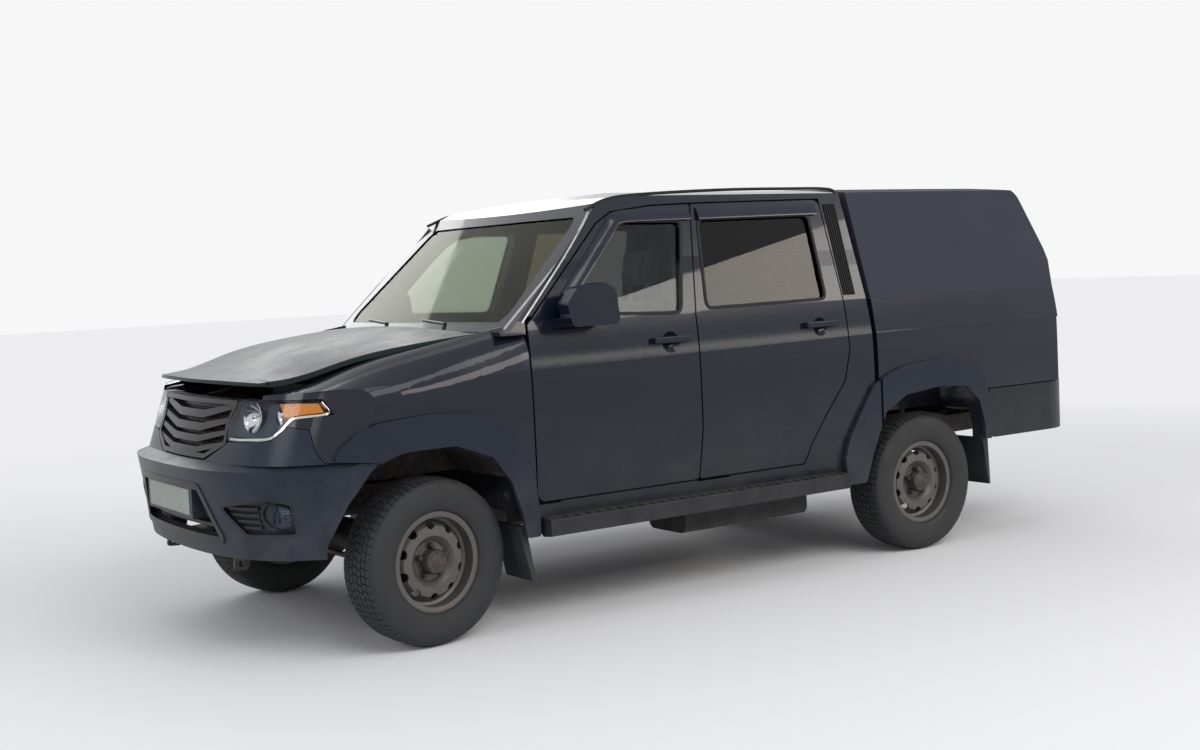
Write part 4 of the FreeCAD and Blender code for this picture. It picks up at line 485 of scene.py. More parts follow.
def add_block(shape, low, high, bevel):
    """Box between two corners with bevelled edges."""
    size = [b - a for a, b in zip(low, high)]
    middle = [(a + b) / 2 for a, b in zip(low, high)]
    place = Matrix.Translation(middle) @ Matrix.Diagonal((*size, 1.0))
    made = bmesh.ops.create_cube(shape, size=1.0, matrix=place)
    edges = list({e for v in made["verts"] for e in v.link_edges})
    bmesh.ops.bevel(shape, geom=edges, offset=bevel, offset_type="OFFSET", segments=2, profile=0.5,
                    affect="EDGES", material=-1)


def wheel_place(end, side):
    """Moves a wheel made round the Y axis at the origin to where it stands."""
    x = FRONT_AXLE_X if end == "front" else REAR_AXLE_X
    place = Matrix.Translation((x, side * WHEEL_Y, AXLE_Z))
    if end == "front":
        pin = Vector((FRONT_AXLE_X, side * KINGPIN_Y, 0))
        turn = Matrix.Translation(pin) @ Matrix.Rotation(STEER_REST, 4, "Z") @ Matrix.Translation(-pin)
        place = turn @ place
    return place


# Surfaces that the added pieces follow, in metres
BELT_Z = 1.380
BELT_HALF = 0.905
WINDOW_LEAN = (0.905 - 0.765) / (1.938 - 1.380)
NOSE_PLAN = [(2.468, 0.0), (2.456, 0.250), (2.428, 0.500), (2.388, 0.660), (2.315, 0.780), (2.200, 0.865),
             (2.075, 0.918)]
BUMPER_PLAN = [(2.565, 0.0), (2.556, 0.250), (2.530, 0.450), (2.478, 0.620), (2.390, 0.760),
               (2.270, 0.855), (2.150, 0.912), (2.040, 0.958)]
NOSE_LEAN = 0.33
NOSE_Z = 0.900
BUMPER_LEAN = -0.15
RIDGE_Z = 0.826


def plan_x(plan, y):
    """Smooth front outline at a half width, through the plan's points."""
    y = abs(y)
    points = [(plan[1][0], -plan[1][1])] + plan
    for i in range(1, len(points) - 1):
        (xa, ya), (xb, yb) = points[i], points[i + 1]
        if y <= yb or i == len(points) - 2:
            before = points[i - 1]
            after = points[i + 2] if i + 2 < len(points) else points[i + 1]
            t = (y - ya) / (yb - ya)
            slope_a = (xb - before[0]) / (yb - before[1]) * (yb - ya)
            slope_b = (after[0] - xa) / (after[1] - ya) * (yb - ya)
            return ((2 * t ** 3 - 3 * t ** 2 + 1) * xa + (t ** 3 - 2 * t ** 2 + t) * slope_a
                    + (-2 * t ** 3 + 3 * t ** 2) * xb + (t ** 3 - t ** 2) * slope_b)
    return plan[-1][0]


def front_point(plan, lean, lean_z, y, z, inset=0.0):
    """Point on the sloping front surface, moved inwards along its normal."""
    x = plan_x(plan, y) - lean * (z - lean_z)
    step = 0.004
    slope = (plan_x(plan, y + step) - plan_x(plan, y - step)) / (2 * step)
    normal = Vector((1.0, -slope, lean)).normalized()
    return Vector((x, y, z)) - normal * inset


def nose_point(y, z, inset=0.0):
    """Point on the face that holds grille and headlamps, moved inwards."""
    return front_point(NOSE_PLAN, NOSE_LEAN, NOSE_Z, y, z, inset)


def bumper_point(y, z, inset=0.0):
    """Point on the front bumper's skin, moved inwards."""
    return front_point(BUMPER_PLAN, BUMPER_LEAN, RIDGE_Z, y, z, inset)


def window_point(x, z, side=1, out=0.0):
    """Point on the leaning window band, moved outwards."""
    y = BELT_HALF - WINDOW_LEAN * (z - BELT_Z) + out
    return Vector((x, side * y, z))


def smooth_path(points, per_span=6):
    """Points of a rounded line through the given points."""
    points = [Vector(p) for p in points]
    ends = [2 * points[0] - points[1]] + points + [2 * points[-1] - points[-2]]
    path = []
    for i in range(1, len(ends) - 2):
        a, b, c, d = ends[i - 1:i + 3]
        for k in range(per_span):
            t = k / per_span
            path.append(0.5 * ((2 * b) + (c - a) * t + (2 * a - 5 * b + 4 * c - d) * t ** 2
                               + (3 * b - a - 3 * c + d) * t ** 3))
    path.append(points[-1])
    return path


def sweep(shape, path, section, facing, closed=False):
    """Pushes a section of (sideways, outward) points along a path; facing is the outward direction."""
    count = len(path)
    rings = []
    for i, point in enumerate(path):
        ahead = path[(i + 1) % count] if closed or i < count - 1 else point
        behind = path[i - 1] if closed or i > 0 else point
        run = (ahead - behind).normalized()
        outward = facing(point) if callable(facing) else Vector(facing)
        side = run.cross(outward).normalized()
        lift = side.cross(run).normalized()
        rings.append([shape.verts.new(point + side * a + lift * b) for a, b in section])
    spans = count if closed else count - 1
    size = len(section)
    for i in range(spans):
        first, second = rings[i], rings[(i + 1) % count]
        for k in range(size):
            n = (k + 1) % size
            shape.faces.new((first[k], first[n], second[n], second[k]))
    if not closed:
        shape.faces.new(rings[0])
        shape.faces.new(list(reversed(rings[-1])))


def rounded_section(width, height, corner=0.3, lift=0.0):
    """Flat strip's section with its two outer edges rounded."""
    half = width / 2
    cut = min(width, height) * corner
    return [(-half, lift), (half, lift), (half, lift + height - cut), (half - cut, lift + height),
            (-half + cut, lift + height), (-half, lift + height - cut)]


def round_section(radius, count=8):
    """Circle as a section for sweep."""
    return [(radius * math.cos(math.tau * i / count), radius * math.sin(math.tau * i / count))
            for i in range(count)]


def new_piece(shape, name, material, body, angle=35):
    """Finished piece that rides on one body."""
    piece = finish_mesh(shape, name, material, angle)
    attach(piece, body)
    return piece


# Tyres: a carcass with a worn block tread
TYRE_HALF = [(0.0794, 0.2034), (0.0794, 0.2206), (0.0900, 0.2215), (0.0985, 0.2255), (0.1035, 0.232),
             (0.1105, 0.252), (0.1150, 0.272), (0.1170, 0.292), (0.1158, 0.312), (0.1120, 0.330),
             (0.1055, 0.345), (0.0985, 0.3515)]
CROWN = [(0.0925, 0.3535), (0.074, 0.3568), (0.040, 0.3586), (0.0, 0.3590)]
TREAD_PITCHES = 68
TREAD_ROWS = [(-0.0125, 0.0125, 0.000, 0.35), (0.0175, 0.0420, 0.010, 0.25), (0.0470, 0.0700, 0.004, 0.20),
              (0.0745, 0.0990, 0.012, 0.0)]
BLOCK_SHARE = 0.84
TREAD_DROP = [(0.0, 0.3670), (0.040, 0.3664), (0.074, 0.3640), (0.0925, 0.3585), (0.101, 0.3545)]
TYRE_STEPS = 96
TYRE_INSIDE = [(-0.082, 0.235), (-0.098, 0.262), (-0.1025, 0.292), (-0.094, 0.334), (0.0, 0.346),
               (0.094, 0.334), (0.1025, 0.292), (0.098, 0.262), (0.082, 0.235)]


def crown_radius(y):
    """Radius of the worn tread's top at an offset from the middle."""
    y = abs(y)
    for (y0, r0), (y1, r1) in zip(TREAD_DROP, TREAD_DROP[1:]):
        if y <= y1:
            return r0 + (r1 - r0) * (y - y0) / (y1 - y0)
    return TREAD_DROP[-1][1]


def add_tread_pitch(shape):
    """One pitch of the tread: slanted blocks with a narrow cross groove between them."""
    arc = math.tau * TYRE_RADIUS / TREAD_PITCHES
    made = []
    for y0, y1, shift, slant in TREAD_ROWS:
        for side in (1, -1):
            if y0 < 0 and side < 0:
                continue
            low, high = (y0, y1)
            run = (y1 - y0) * slant
            far = shift + arc * BLOCK_SHARE
            corners = [(shift, low), (far, low), (far + run, high), (shift + run, high)]
            verts = [shape.verts.new((x, side * y, 0.0)) for x, y in corners]
            face = shape.faces.new(verts)
            grown = bmesh.ops.extrude_face_region(shape, geom=[face])
            top = [v for v in grown["geom"] if isinstance(v, bmesh.types.BMVert)]
            bmesh.ops.translate(shape, vec=(0, 0, 1.0), verts=top)
            made += verts + top
    for v in made:
        x, y, lift = v.co
        crown = crown_radius(y)
        radius = crown if lift > 0.5 else crown - TREAD_DEPTH - 0.001
        angle = x / TYRE_RADIUS
        v.co = Vector((radius * math.sin(angle), y, radius * math.cos(angle)))
    return made


def make_tyres():
    """Tread band of each tyre, one pitch of blocks copied round."""
    for end in ("front", "rear"):
        for side, word in ((1, "left"), (-1, "right")):
            shape = bmesh.new()
            add_tread_pitch(shape)
            geometry = shape.verts[:] + shape.edges[:] + shape.faces[:]
            step = math.tau / TREAD_PITCHES
            bmesh.ops.spin(shape, geom=geometry, cent=(0, 0, 0), axis=(0, 1, 0), dvec=(0, 0, 0),
                           angle=step * (TREAD_PITCHES - 1), steps=TREAD_PITCHES - 1, use_duplicate=True)
            outer = TYRE_HALF + CROWN
            profile = outer + [(-y, r) for y, r in reversed(outer[:-1])]
            add_ring(shape, profile + TYRE_INSIDE, TYRE_STEPS)
            bmesh.ops.transform(shape, matrix=wheel_place(end, side), verts=shape.verts[:])
            tyre = finish_mesh(shape, "tyre_%s_%s_tread" % (end, word), RUBBER, 35)
            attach(tyre, "wheel_%s_%s" % (end, word))
            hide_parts("tyre_%s_%s" % (end, word))


make_tyres()


# Headlamps: bowls, indicator and chrome strip behind the lens
CHROME = metal("lamp chrome", (0.62, 0.64, 0.66), 0.10, 1.0, dust_amount=0.1)
LAMP_BEZEL = plastic("lamp bezel", (0.045, 0.060, 0.085), 0.30, 900.0, 0.05, settled=0.0, dust_amount=0.1)
AMBER = glass("amber lens", (0.95, 0.34, 0.03), smear=0.05, transmission=0.35)
MAIN_BOWL = (2.338, 0.556, 1.036, 0.066)
SIDE_BOWL = (2.262, 0.718, 1.046, 0.050)
LAMP_EDGE = [(0.424, 0.950), (0.560, 0.951), (0.700, 0.958), (0.745, 0.985), (0.775, 1.030), (0.800, 1.043),
             (0.868, 1.054), (0.848, 1.102)]
AMBER_LOW = [(0.752, 1.046), (0.806, 1.053), (0.858, 1.060)]
AMBER_HIGH = [(0.716, 1.101), (0.790, 1.101), (0.842, 1.098)]
BULB_HOLE = 0.004
BULB_PROFILE = [(-0.046, 0.004), (-0.018, 0.013), (-0.008, 0.012), (-0.004, 0.004)]
BOWL_DEPTH = 0.048
BOWL_TURN = 0.12
STRIP_INSET = 0.012
AMBER_INSET = 0.014
BEZEL_INSET = 0.052
LENS_FACING = 0.45
LENS_AHEAD = 0.85
LENS_ASIDE = 0.5
LAMP_STRIP = (0.013, 0.005)
LAMP_STRIP_FACING = (0.85, 0.45, 0.1)
BEZEL_LOW = [(0.415, 0.965), (0.560, 0.962), (0.700, 0.968), (0.760, 1.010), (0.868, 1.060)]
BEZEL_HIGH = [(0.455, 1.104), (0.560, 1.104), (0.680, 1.104), (0.740, 1.104), (0.846, 1.104)]


def mirrored_y(shape, faces=None):
    """Adds the mirror image of the mesh, or of some of its faces, on the other side."""
    faces = shape.faces[:] if faces is None else faces
    copied = bmesh.ops.duplicate(shape, geom=faces)["geom"]
    verts = [v for v in copied if isinstance(v, bmesh.types.BMVert)]
    bmesh.ops.scale(shape, vec=(1, -1, 1), verts=verts)


def add_turned(shape, profile, place, steps=48):
    """Spins a profile of (along X, radius) points about X and moves it by a matrix."""
    known = set(shape.verts)
    points = [shape.verts.new((x, 0.0, r)) for x, r in profile]
    edges = [shape.edges.new((a, b)) for a, b in zip(points, points[1:] + points[:1])]
    bmesh.ops.spin(shape, geom=points + edges, cent=(0, 0, 0), axis=(1, 0, 0), dvec=(0, 0, 0),
                   angle=math.tau, steps=steps, use_merge=True, use_duplicate=False)
    bmesh.ops.transform(shape, matrix=place, verts=[v for v in shape.verts if v not in known])


def bowl_profile(radius, depth):
    """Hollow bowl with a rolled rim, as offsets along its axis and radii."""
    inside = [(-depth * (1 - (k / 10) ** 2), max(radius * k / 10, BULB_HOLE)) for k in range(11)]
    return inside + [(0.002, radius + 0.002), (0.0, radius + 0.004), (-depth, radius * 0.55),
                     (-depth - 0.003, BULB_HOLE)]


def surface_patch(shape, low, high, point, inset, across=16, up=5, thickness=0.003):
    """Curved plate between a low and a high line on a surface, with some thickness."""
    grids = []
    for depth in (inset, inset + thickness):
        grid = []
        for i in range(across + 1):
            a = i / across * (len(low) - 1)
            k = min(int(a), len(low) - 2)
            y0 = low[k][0] + (low[k + 1][0] - low[k][0]) * (a - k)
            z0 = low[k][1] + (low[k + 1][1] - low[k][1]) * (a - k)
            y1 = high[k][0] + (high[k + 1][0] - high[k][0]) * (a - k)
            z1 = high[k][1] + (high[k + 1][1] - high[k][1]) * (a - k)
            grid.append([shape.verts.new(point(y0 + (y1 - y0) * j / up, z0 + (z1 - z0) * j / up, depth))
                         for j in range(up + 1)])
        grids.append(grid)
    front, back = grids
    for i in range(across):
        for j in range(up):
            shape.faces.new((front[i][j], front[i + 1][j], front[i + 1][j + 1], front[i][j + 1]))
            shape.faces.new((back[i][j], back[i][j + 1], back[i + 1][j + 1], back[i + 1][j]))
    for i in range(across):
        for j in (0, up):
            shape.faces.new((front[i][j], back[i][j], back[i + 1][j], front[i + 1][j]))
    for i in (0, across):
        for j in range(up):
            shape.faces.new((front[i][j], front[i][j + 1], back[i][j + 1], back[i][j]))


def make_lamp_insides():
    """Bowls with their bulbs and the edge strip, the panel round them, and the indicator lens."""
    chrome = bmesh.new()
    for x, y, z, radius in (MAIN_BOWL, SIDE_BOWL):
        place = Matrix.Translation((x, y, z)) @ Matrix.Rotation(BOWL_TURN, 4, "Z")
        add_turned(chrome, bowl_profile(radius, BOWL_DEPTH), place)
        add_turned(chrome, BULB_PROFILE, place, 20)
    path = smooth_path([nose_point(y, z, STRIP_INSET) for y, z in LAMP_EDGE], 8)
    sweep(chrome, path, rounded_section(*LAMP_STRIP), LAMP_STRIP_FACING)
    mirrored_y(chrome)
    new_piece(chrome, "headlamp_chrome", CHROME, "chassis")
    bezel = bmesh.new()
    surface_patch(bezel, BEZEL_LOW, BEZEL_HIGH, nose_point, BEZEL_INSET, 90, 34, 0.004)
    holes = []
    for face in bezel.faces:
        middle = face.calc_center_median()
        for x, y, z, radius in (MAIN_BOWL, SIDE_BOWL):
            if math.hypot(middle.y - y, middle.z - z) < radius + 0.001:
                holes.append(face)
                break
    bmesh.ops.delete(bezel, geom=holes, context="FACES")
    mirrored_y(bezel)
    new_piece(bezel, "headlamp_bezel", LAMP_BEZEL, "chassis")
    amber = bmesh.new()
    surface_patch(amber, AMBER_LOW, AMBER_HIGH, nose_point, AMBER_INSET, 14, 5, 0.010)
    mirrored_y(amber)
    new_piece(amber, "indicator_lens", AMBER, "chassis")


def split_lamp_faces(node, lens, housing):
    """Lens material on what faces out of the body and the housing's on the rest."""
    data = node.data
    data.materials.clear()
    data.materials.append(lens)
    data.materials.append(housing)
    for polygon in data.polygons:
        side = 1 if polygon.center.y > 0 else -1
        outward = polygon.normal.x * LENS_AHEAD + polygon.normal.y * side * LENS_ASIDE
        polygon.material_index = 0 if outward > LENS_FACING else 1


split_lamp_faces(NODES["front_lamps"], LAMP, LAMP_BEZEL)
make_lamp_insides()


# Grille mesh, bumper frames and fog lamp slats
MESH_CELL = (0.0165, 0.0115)
MESH_WIRE = 0.0016
GRILLE_EDGE = [(0.434, 1.092), (0.394, 1.010), (0.413, 0.936), (0.256, 0.874), (-0.256, 0.874),
               (-0.413, 0.936), (-0.394, 1.010), (-0.434, 1.092)]
FRAME_EDGE = [(0.352, 0.748), (0.482, 0.522), (-0.482, 0.522), (-0.352, 0.748)]
FOG_EDGE = [(0.500, 0.672), (0.632, 0.553), (0.817, 0.557), (0.816, 0.690), (0.753, 0.710)]
FOG_MIDDLE = (0.767, 0.634)
FOG_RING = 0.060
FOG_SLATS = (0.585, 0.612, 0.639, 0.666)
SLAT_END = 0.697
SLAT_HALF = 0.006
FRAMES_OUT = 0.49
MESH_INSET = 0.034
MESH_DEPTH = 0.005
MESH_COLUMNS = 30
CORNER_REACH = 1.1547
PLATE_FRAME = (0.030, 0.007)
FOG_FRAME = (0.011, 0.004)
FOG_FACING = (0.8, 0.6, 0.0)
FOG_CORNER = 0.016
RING_WIRE = 0.006
RING_INSET = 0.020
RING_STEPS = 40
SLAT_START = 0.014
SLAT_INSET = 0.012
SLAT_THICK = 0.014
MESH_BROWN = plastic("grille mesh", (0.055, 0.040, 0.028), 0.5, 600.0, 0.2, settled=0.6)


def inside_outline(outline, y, z):
    """Whether a point of the front view lies within a closed outline."""
    hit = False
    for (ya, za), (yb, zb) in zip(outline, outline[1:] + outline[:1]):
        if (za > z) != (zb > z) and y < ya + (z - za) / (zb - za) * (yb - ya):
            hit = not hit
    return hit


def honeycomb(shape, outline, point, inset):
    """Six-sided wire cells over an outline on a surface."""
    wide, tall = MESH_CELL
    pitch = tall * 1.5
    heights = [z for _, z in outline]
    for row in range(int(min(heights) / pitch), int(max(heights) / pitch) + 1):
        z = row * pitch
        shift = wide if row % 2 else 0.0
        for column in range(-MESH_COLUMNS, MESH_COLUMNS + 1):
            y = column * wide * 2 + shift
            corners = []
            for k in range(6):
                angle = math.tau * (k + 0.5) / 6
                corners.append((y + wide * CORNER_REACH * math.cos(angle), z + tall * math.sin(angle)))
            if not all(inside_outline(outline, a, b) for a, b in corners):
                continue
            rings = []
            narrow = 1.0 - MESH_WIRE / tall
            for scale, back in ((1.0, 0.0), (narrow, 0.0), (narrow, MESH_DEPTH), (1.0, MESH_DEPTH)):
                rings.append([shape.verts.new(point(y + (a - y) * scale, z + (b - z) * scale, inset + back))
                              for a, b in corners])
            for i in range(4):
                first, second = rings[i], rings[(i + 1) % 4]
                for k in range(6):
                    n = (k + 1) % 6
                    shape.faces.new((first[k], first[n], second[n], second[k]))


def outline_path(outline, point, inset, corner=0.02, steps=5):
    """Rounded closed line round an outline on a surface."""
    path = []
    count = len(outline)
    for i in range(count):
        before, here, after = (Vector(outline[j % count]) for j in (i - 1, i, i + 1))
        into = (before - here).normalized() * corner
        out = (after - here).normalized() * corner
        for k in range(steps + 1):
            t = k / steps
            path.append((1 - t) ** 2 * (here + into) + 2 * t * (1 - t) * here + t ** 2 * (here + out))
        length = (after - here).length - 2 * corner
        far = int(length / 0.05)
        for k in range(1, far):
            path.append(here + out + (after - here).normalized() * length * k / far)
    return [point(p.x, p.y, inset) for p in path]


def make_front_details():
    """Wire mesh behind the grille bars, and the frames, slats and lamp ring on the bumper."""
    mesh = bmesh.new()
    honeycomb(mesh, GRILLE_EDGE, nose_point, MESH_INSET)
    new_piece(mesh, "grille_mesh", MESH_BROWN, "chassis")
    frames = bmesh.new()
    plate_path = outline_path(FRAME_EDGE, bumper_point, 0.001)
    sweep(frames, plate_path, rounded_section(*PLATE_FRAME), (1, 0, 0), True)
    fog_path = outline_path(FOG_EDGE, bumper_point, 0.001, FOG_CORNER)
    sweep(frames, fog_path, rounded_section(*FOG_FRAME), FOG_FACING, True)
    (top_y, top_z), (foot_y, foot_z) = FOG_EDGE[:2]
    for z in FOG_SLATS:
        left = top_y + (top_z - z) / (top_z - foot_z) * (foot_y - top_y) + SLAT_START
        low = [(left, z - SLAT_HALF), (SLAT_END, z - SLAT_HALF)]
        high = [(left, z + SLAT_HALF), (SLAT_END, z + SLAT_HALF)]
        surface_patch(frames, low, high, bumper_point, SLAT_INSET, 8, 1, SLAT_THICK)
    y, z = FOG_MIDDLE
    ring = [bumper_point(y + FOG_RING * math.cos(a), z + FOG_RING * math.sin(a), RING_INSET)
            for a in (math.tau * k / RING_STEPS for k in range(RING_STEPS))]
    sweep(frames, ring, round_section(RING_WIRE), FOG_FACING, True)
    mirrored_y(frames, [f for f in frames.faces if f.calc_center_median().y > FRAMES_OUT])
    new_piece(frames, "bumper_frames", GRILLE, "chassis")


make_front_details()


# Trims of the cab: gutter, mouldings, rain visors, window seals, louvres and locks
SEAL = plastic("rubber seal", (0.010, 0.010, 0.011), 0.55, 900.0, 0.15, settled=0.1, dust_amount=0.3)
VISOR = car_paint("rain visor", (0.006, 0.010, 0.022), low=0.6, high=1.2, settled=0.1, dust_amount=0.2)
TRIM_LINE = metal("moulding", (0.30, 0.30, 0.31), 0.22, 0.9, dust_amount=0.3)
FRONT_WINDOW = [(0.985, 1.398), (0.316, 1.372), (0.214, 1.812), (0.560, 1.816), (0.640, 1.770)]
REAR_WINDOW = [(0.160, 1.384), (0.112, 1.818), (-0.615, 1.826), (-0.622, 1.392)]
FRONT_VISOR = [(0.955, 1.475), (0.800, 1.632), (0.648, 1.786), (0.590, 1.834), (0.400, 1.843),
               (0.160, 1.846)]
REAR_VISOR = [(0.112, 1.846), (-0.20, 1.850), (-0.45, 1.853), (-0.668, 1.855)]
GUTTER = [(0.757, 1.874), (0.613, 1.925), (0.390, 1.946), (-0.090, 1.962), (-0.500, 1.964), (-0.795, 1.960),
          (-0.850, 1.930)]
PILLAR_LINE = [(1.210, 1.372), (1.080, 1.500), (0.930, 1.650), (0.800, 1.790), (0.740, 1.862)]
LOUVRE_LOW = (-0.754, -0.824)
LOUVRE_HIGH = (-0.738, -0.810)
LOUVRE_COUNT = 6
SEAL_STRIP = (0.016, 0.004)
SEAL_CORNER = 0.040
GUTTER_WIRE = 0.008
MOULDING_STRIP = (0.010, 0.006)
LOUVRE_STRIP = (0.008, 0.006)
LOUVRE_FOOT = 1.405
LOUVRE_TALL = 0.475
VISOR_SECTION = [(-0.031, -0.002), (0.031, 0.010), (0.031, 0.013), (0.0186, 0.014), (-0.0248, 0.004),
                 (-0.031, 0.001)]
LOCK_PROFILE = [(0.0, 0.003), (0.002, 0.006), (0.005, 0.010), (0.003, 0.014), (-0.006, 0.015)]
LOCK_PLACE = (0.300, 1.096)
LOCK_SIDE = 0.9105


def side_line(points, side, out, per_span=6):
    """Smooth path through (x, z) points on the window plane of one side."""
    return smooth_path([window_point(x, z, side, out) for x, z in points], per_span)


def window_facing(side):
    """Direction in which one side's window plane looks."""
    return Vector((0, side, WINDOW_LEAN)).normalized()


def make_door_trims():
    """Window seal and rain visor of each side door."""
    for side, word in ((1, "left"), (-1, "right")):
        facing = window_facing(side)
        for end, outline, top in (("front", FRONT_WINDOW, FRONT_VISOR), ("rear", REAR_WINDOW, REAR_VISOR)):
            door = "door_%s_%s" % (end, word)
            seal = bmesh.new()
            path = outline_path(outline, lambda x, z, out: window_point(x, z, side, out), 0.0005, SEAL_CORNER)
            sweep(seal, path, rounded_section(*SEAL_STRIP), facing, True)
            new_piece(seal, door + "_seal", SEAL, door)
            visor = bmesh.new()
            section = [(a * side, b) for a, b in VISOR_SECTION]
            sweep(visor, side_line(top, side, 0.004), section, facing)
            new_piece(visor, door + "_visor", VISOR, door)
        lock = bmesh.new()
        x, z = LOCK_PLACE
        turn = Matrix.Translation((x, side * LOCK_SIDE, z)) @ Matrix.Rotation(side * math.pi / 2, 4, "Z")
        add_turned(lock, LOCK_PROFILE, turn, 24)
        new_piece(lock, "door_front_%s_lock" % word, TRIM_LINE, "door_front_" + word)


def make_cab_trims():
    """Roof gutters, pillar mouldings and the vent louvres behind the rear doors."""
    rubber = bmesh.new()
    bright = bmesh.new()
    for side in (1, -1):
        facing = window_facing(side)
        sweep(rubber, side_line(GUTTER, side, -0.006), round_section(GUTTER_WIRE), facing)
        sweep(bright, side_line(PILLAR_LINE, side, -0.004), rounded_section(*MOULDING_STRIP), facing)
        for k in range(LOUVRE_COUNT):
            low_x = LOUVRE_LOW[0] + (LOUVRE_LOW[1] - LOUVRE_LOW[0]) * k / (LOUVRE_COUNT - 1)
            high_x = LOUVRE_HIGH[0] + (LOUVRE_HIGH[1] - LOUVRE_HIGH[0]) * k / (LOUVRE_COUNT - 1)
            path = [window_point(low_x + (high_x - low_x) * t / 8, LOUVRE_FOOT + LOUVRE_TALL * t / 8, side,
                                 0.001) for t in range(9)]
            sweep(rubber, path, rounded_section(*LOUVRE_STRIP), facing)
    new_piece(rubber, "gutters_and_louvres", SEAL, "chassis")
    new_piece(bright, "pillar_mouldings", TRIM_LINE, "chassis")


make_door_trims()
make_cab_trims()


# Wheel hubs: nuts, locking hub and its bolts
HUB_IRON = metal("hub iron", (0.060, 0.052, 0.046), 0.5, 0.6, rust=0.5, dust_amount=0.5)
NUT_CIRCLE = 0.06985
NUT_COUNT = 5
DISH_FACE = 0.030
HUB_PROFILE = [(0.026, 0.056), (0.026, 0.062), (0.033, 0.062), (0.036, 0.057), (0.080, 0.0535),
               (0.086, 0.0510), (0.0890, 0.0475), (0.0890, 0.0310), (0.0905, 0.0295), (0.0918, 0.0265),
               (0.0918, 0.0030), (0.0800, 0.0030)]
NUT_PROFILE = [(-0.004, 0.0030), (-0.004, 0.0150), (0.002, 0.0150), (0.004, 0.0128), (0.030, 0.0128),
               (0.035, 0.0090), (0.036, 0.0030)]
BOLT_CIRCLE = 0.040
BOLT_COUNT = 6
BOLT_FACE = 0.089
BOLT_PROFILE = [(-0.002, 0.0010), (-0.002, 0.0042), (0.0030, 0.0042), (0.0036, 0.0034), (0.0036, 0.0010)]


def make_hubs():
    """Locking hub with its bolts and the wheel nuts, one piece to each wheel."""
    outward = Matrix.Rotation(math.pi / 2, 4, "Z")
    for end in ("front", "rear"):
        for side, word in ((1, "left"), (-1, "right")):
            shape = bmesh.new()
            add_turned(shape, HUB_PROFILE, outward)
            for count, radius, reach, profile in ((NUT_COUNT, NUT_CIRCLE, DISH_FACE, NUT_PROFILE),
                                                  (BOLT_COUNT, BOLT_CIRCLE, BOLT_FACE, BOLT_PROFILE)):
                for k in range(count):
                    angle = math.tau * k / count + math.pi / 2
                    spot = (radius * math.cos(angle), reach, radius * math.sin(angle))
                    add_turned(shape, profile, Matrix.Translation(spot) @ outward, 6)
            flip = Matrix.Identity(4) if side > 0 else Matrix.Rotation(math.pi, 4, "Z")
            bmesh.ops.transform(shape, matrix=wheel_place(end, side) @ flip, verts=shape.verts[:])
            new_piece(shape, "hub_%s_%s" % (end, word), HUB_IRON, "wheel_%s_%s" % (end, word))


make_hubs()


# Seats: stuffed cushions, backs and head rests on their frames
SEAT_X = 0.600
SEAT_Y = 0.370
SEAT_HALF = 0.250
HEAD_HALF = 0.130
BENCH_HALF = 0.640
BENCH_HEADS = (-0.380, 0.0, 0.380)
BENCH_HEAD_HALF = 0.110
BENCH_PLACES = (-0.400, 0.400)
CABIN_FLOOR = 0.550
BASE_BEVEL = 0.012
CUSHION = [(0.340, 0.765), (0.340, 0.880), (0.850, 0.905), (0.880, 0.840), (0.850, 0.765)]
BACK = [(0.370, 0.890), (0.330, 0.890), (0.120, 1.440), (0.160, 1.460), (0.250, 1.440), (0.465, 0.900)]
HEAD = [(0.120, 1.500), (0.100, 1.680), (0.190, 1.690), (0.220, 1.500)]
BENCH_CUSHION = [(-0.530, 0.700), (-0.530, 0.850), (-0.020, 0.880), (0.000, 0.800), (-0.040, 0.700)]
BENCH_BACK = [(-0.500, 0.855), (-0.800, 0.870), (-0.830, 1.430), (-0.760, 1.440), (-0.520, 1.020)]
BENCH_HEAD = [(-0.800, 1.435), (-0.810, 1.600), (-0.730, 1.600), (-0.710, 1.435)]
BASE_REAR = 0.240
BASE_FRONT = 0.250
BASE_HALF = 0.210
BASE_TOP = 0.768
BENCH_BASE_LOW = (-0.510, -0.600, 0.550)
BENCH_BASE_HIGH = (-0.070, 0.600, 0.705)
POST_HALF = 0.070
POST_WIRE = 0.007
POST_FOOT = (-0.415, 1.420)
POST_HEAD = (-0.430, 1.520)
VOXEL = 0.015
PAD_START = 0.010
PAD_CORNER = 1.3
PAD_BEVEL = 0.018
SWELL_CAP = 0.022
CLOTH_FRAMES = 20
CLOTH_PRESSURE = 4.0
SEAM_WIDTH = 0.020
SEAM_DEPTH = 0.006
SEAM_FACING = 0.35
# One row to a pad: axis of the cross seams, facing, middles, half width of the panel, cross seams
SEAMS = [(0, (0.0, 0.0, 1.0), (SEAT_Y,), 0.150, (0.480, 0.590, 0.700)),
         (2, (0.9, 0.0, 0.4), (SEAT_Y,), 0.150, (1.060, 1.190, 1.320)),
         (2, (1.0, 0.0, 0.0), (SEAT_Y,), 0.085, ()),
         (0, (0.0, 0.0, 1.0), BENCH_PLACES, 0.210, (-0.330, -0.180)),
         (2, (0.9, 0.0, 0.4), BENCH_PLACES, 0.210, (1.150, 1.300)),
         (2, (1.0, 0.0, 0.0), BENCH_HEADS[:1], 0.070, ())]


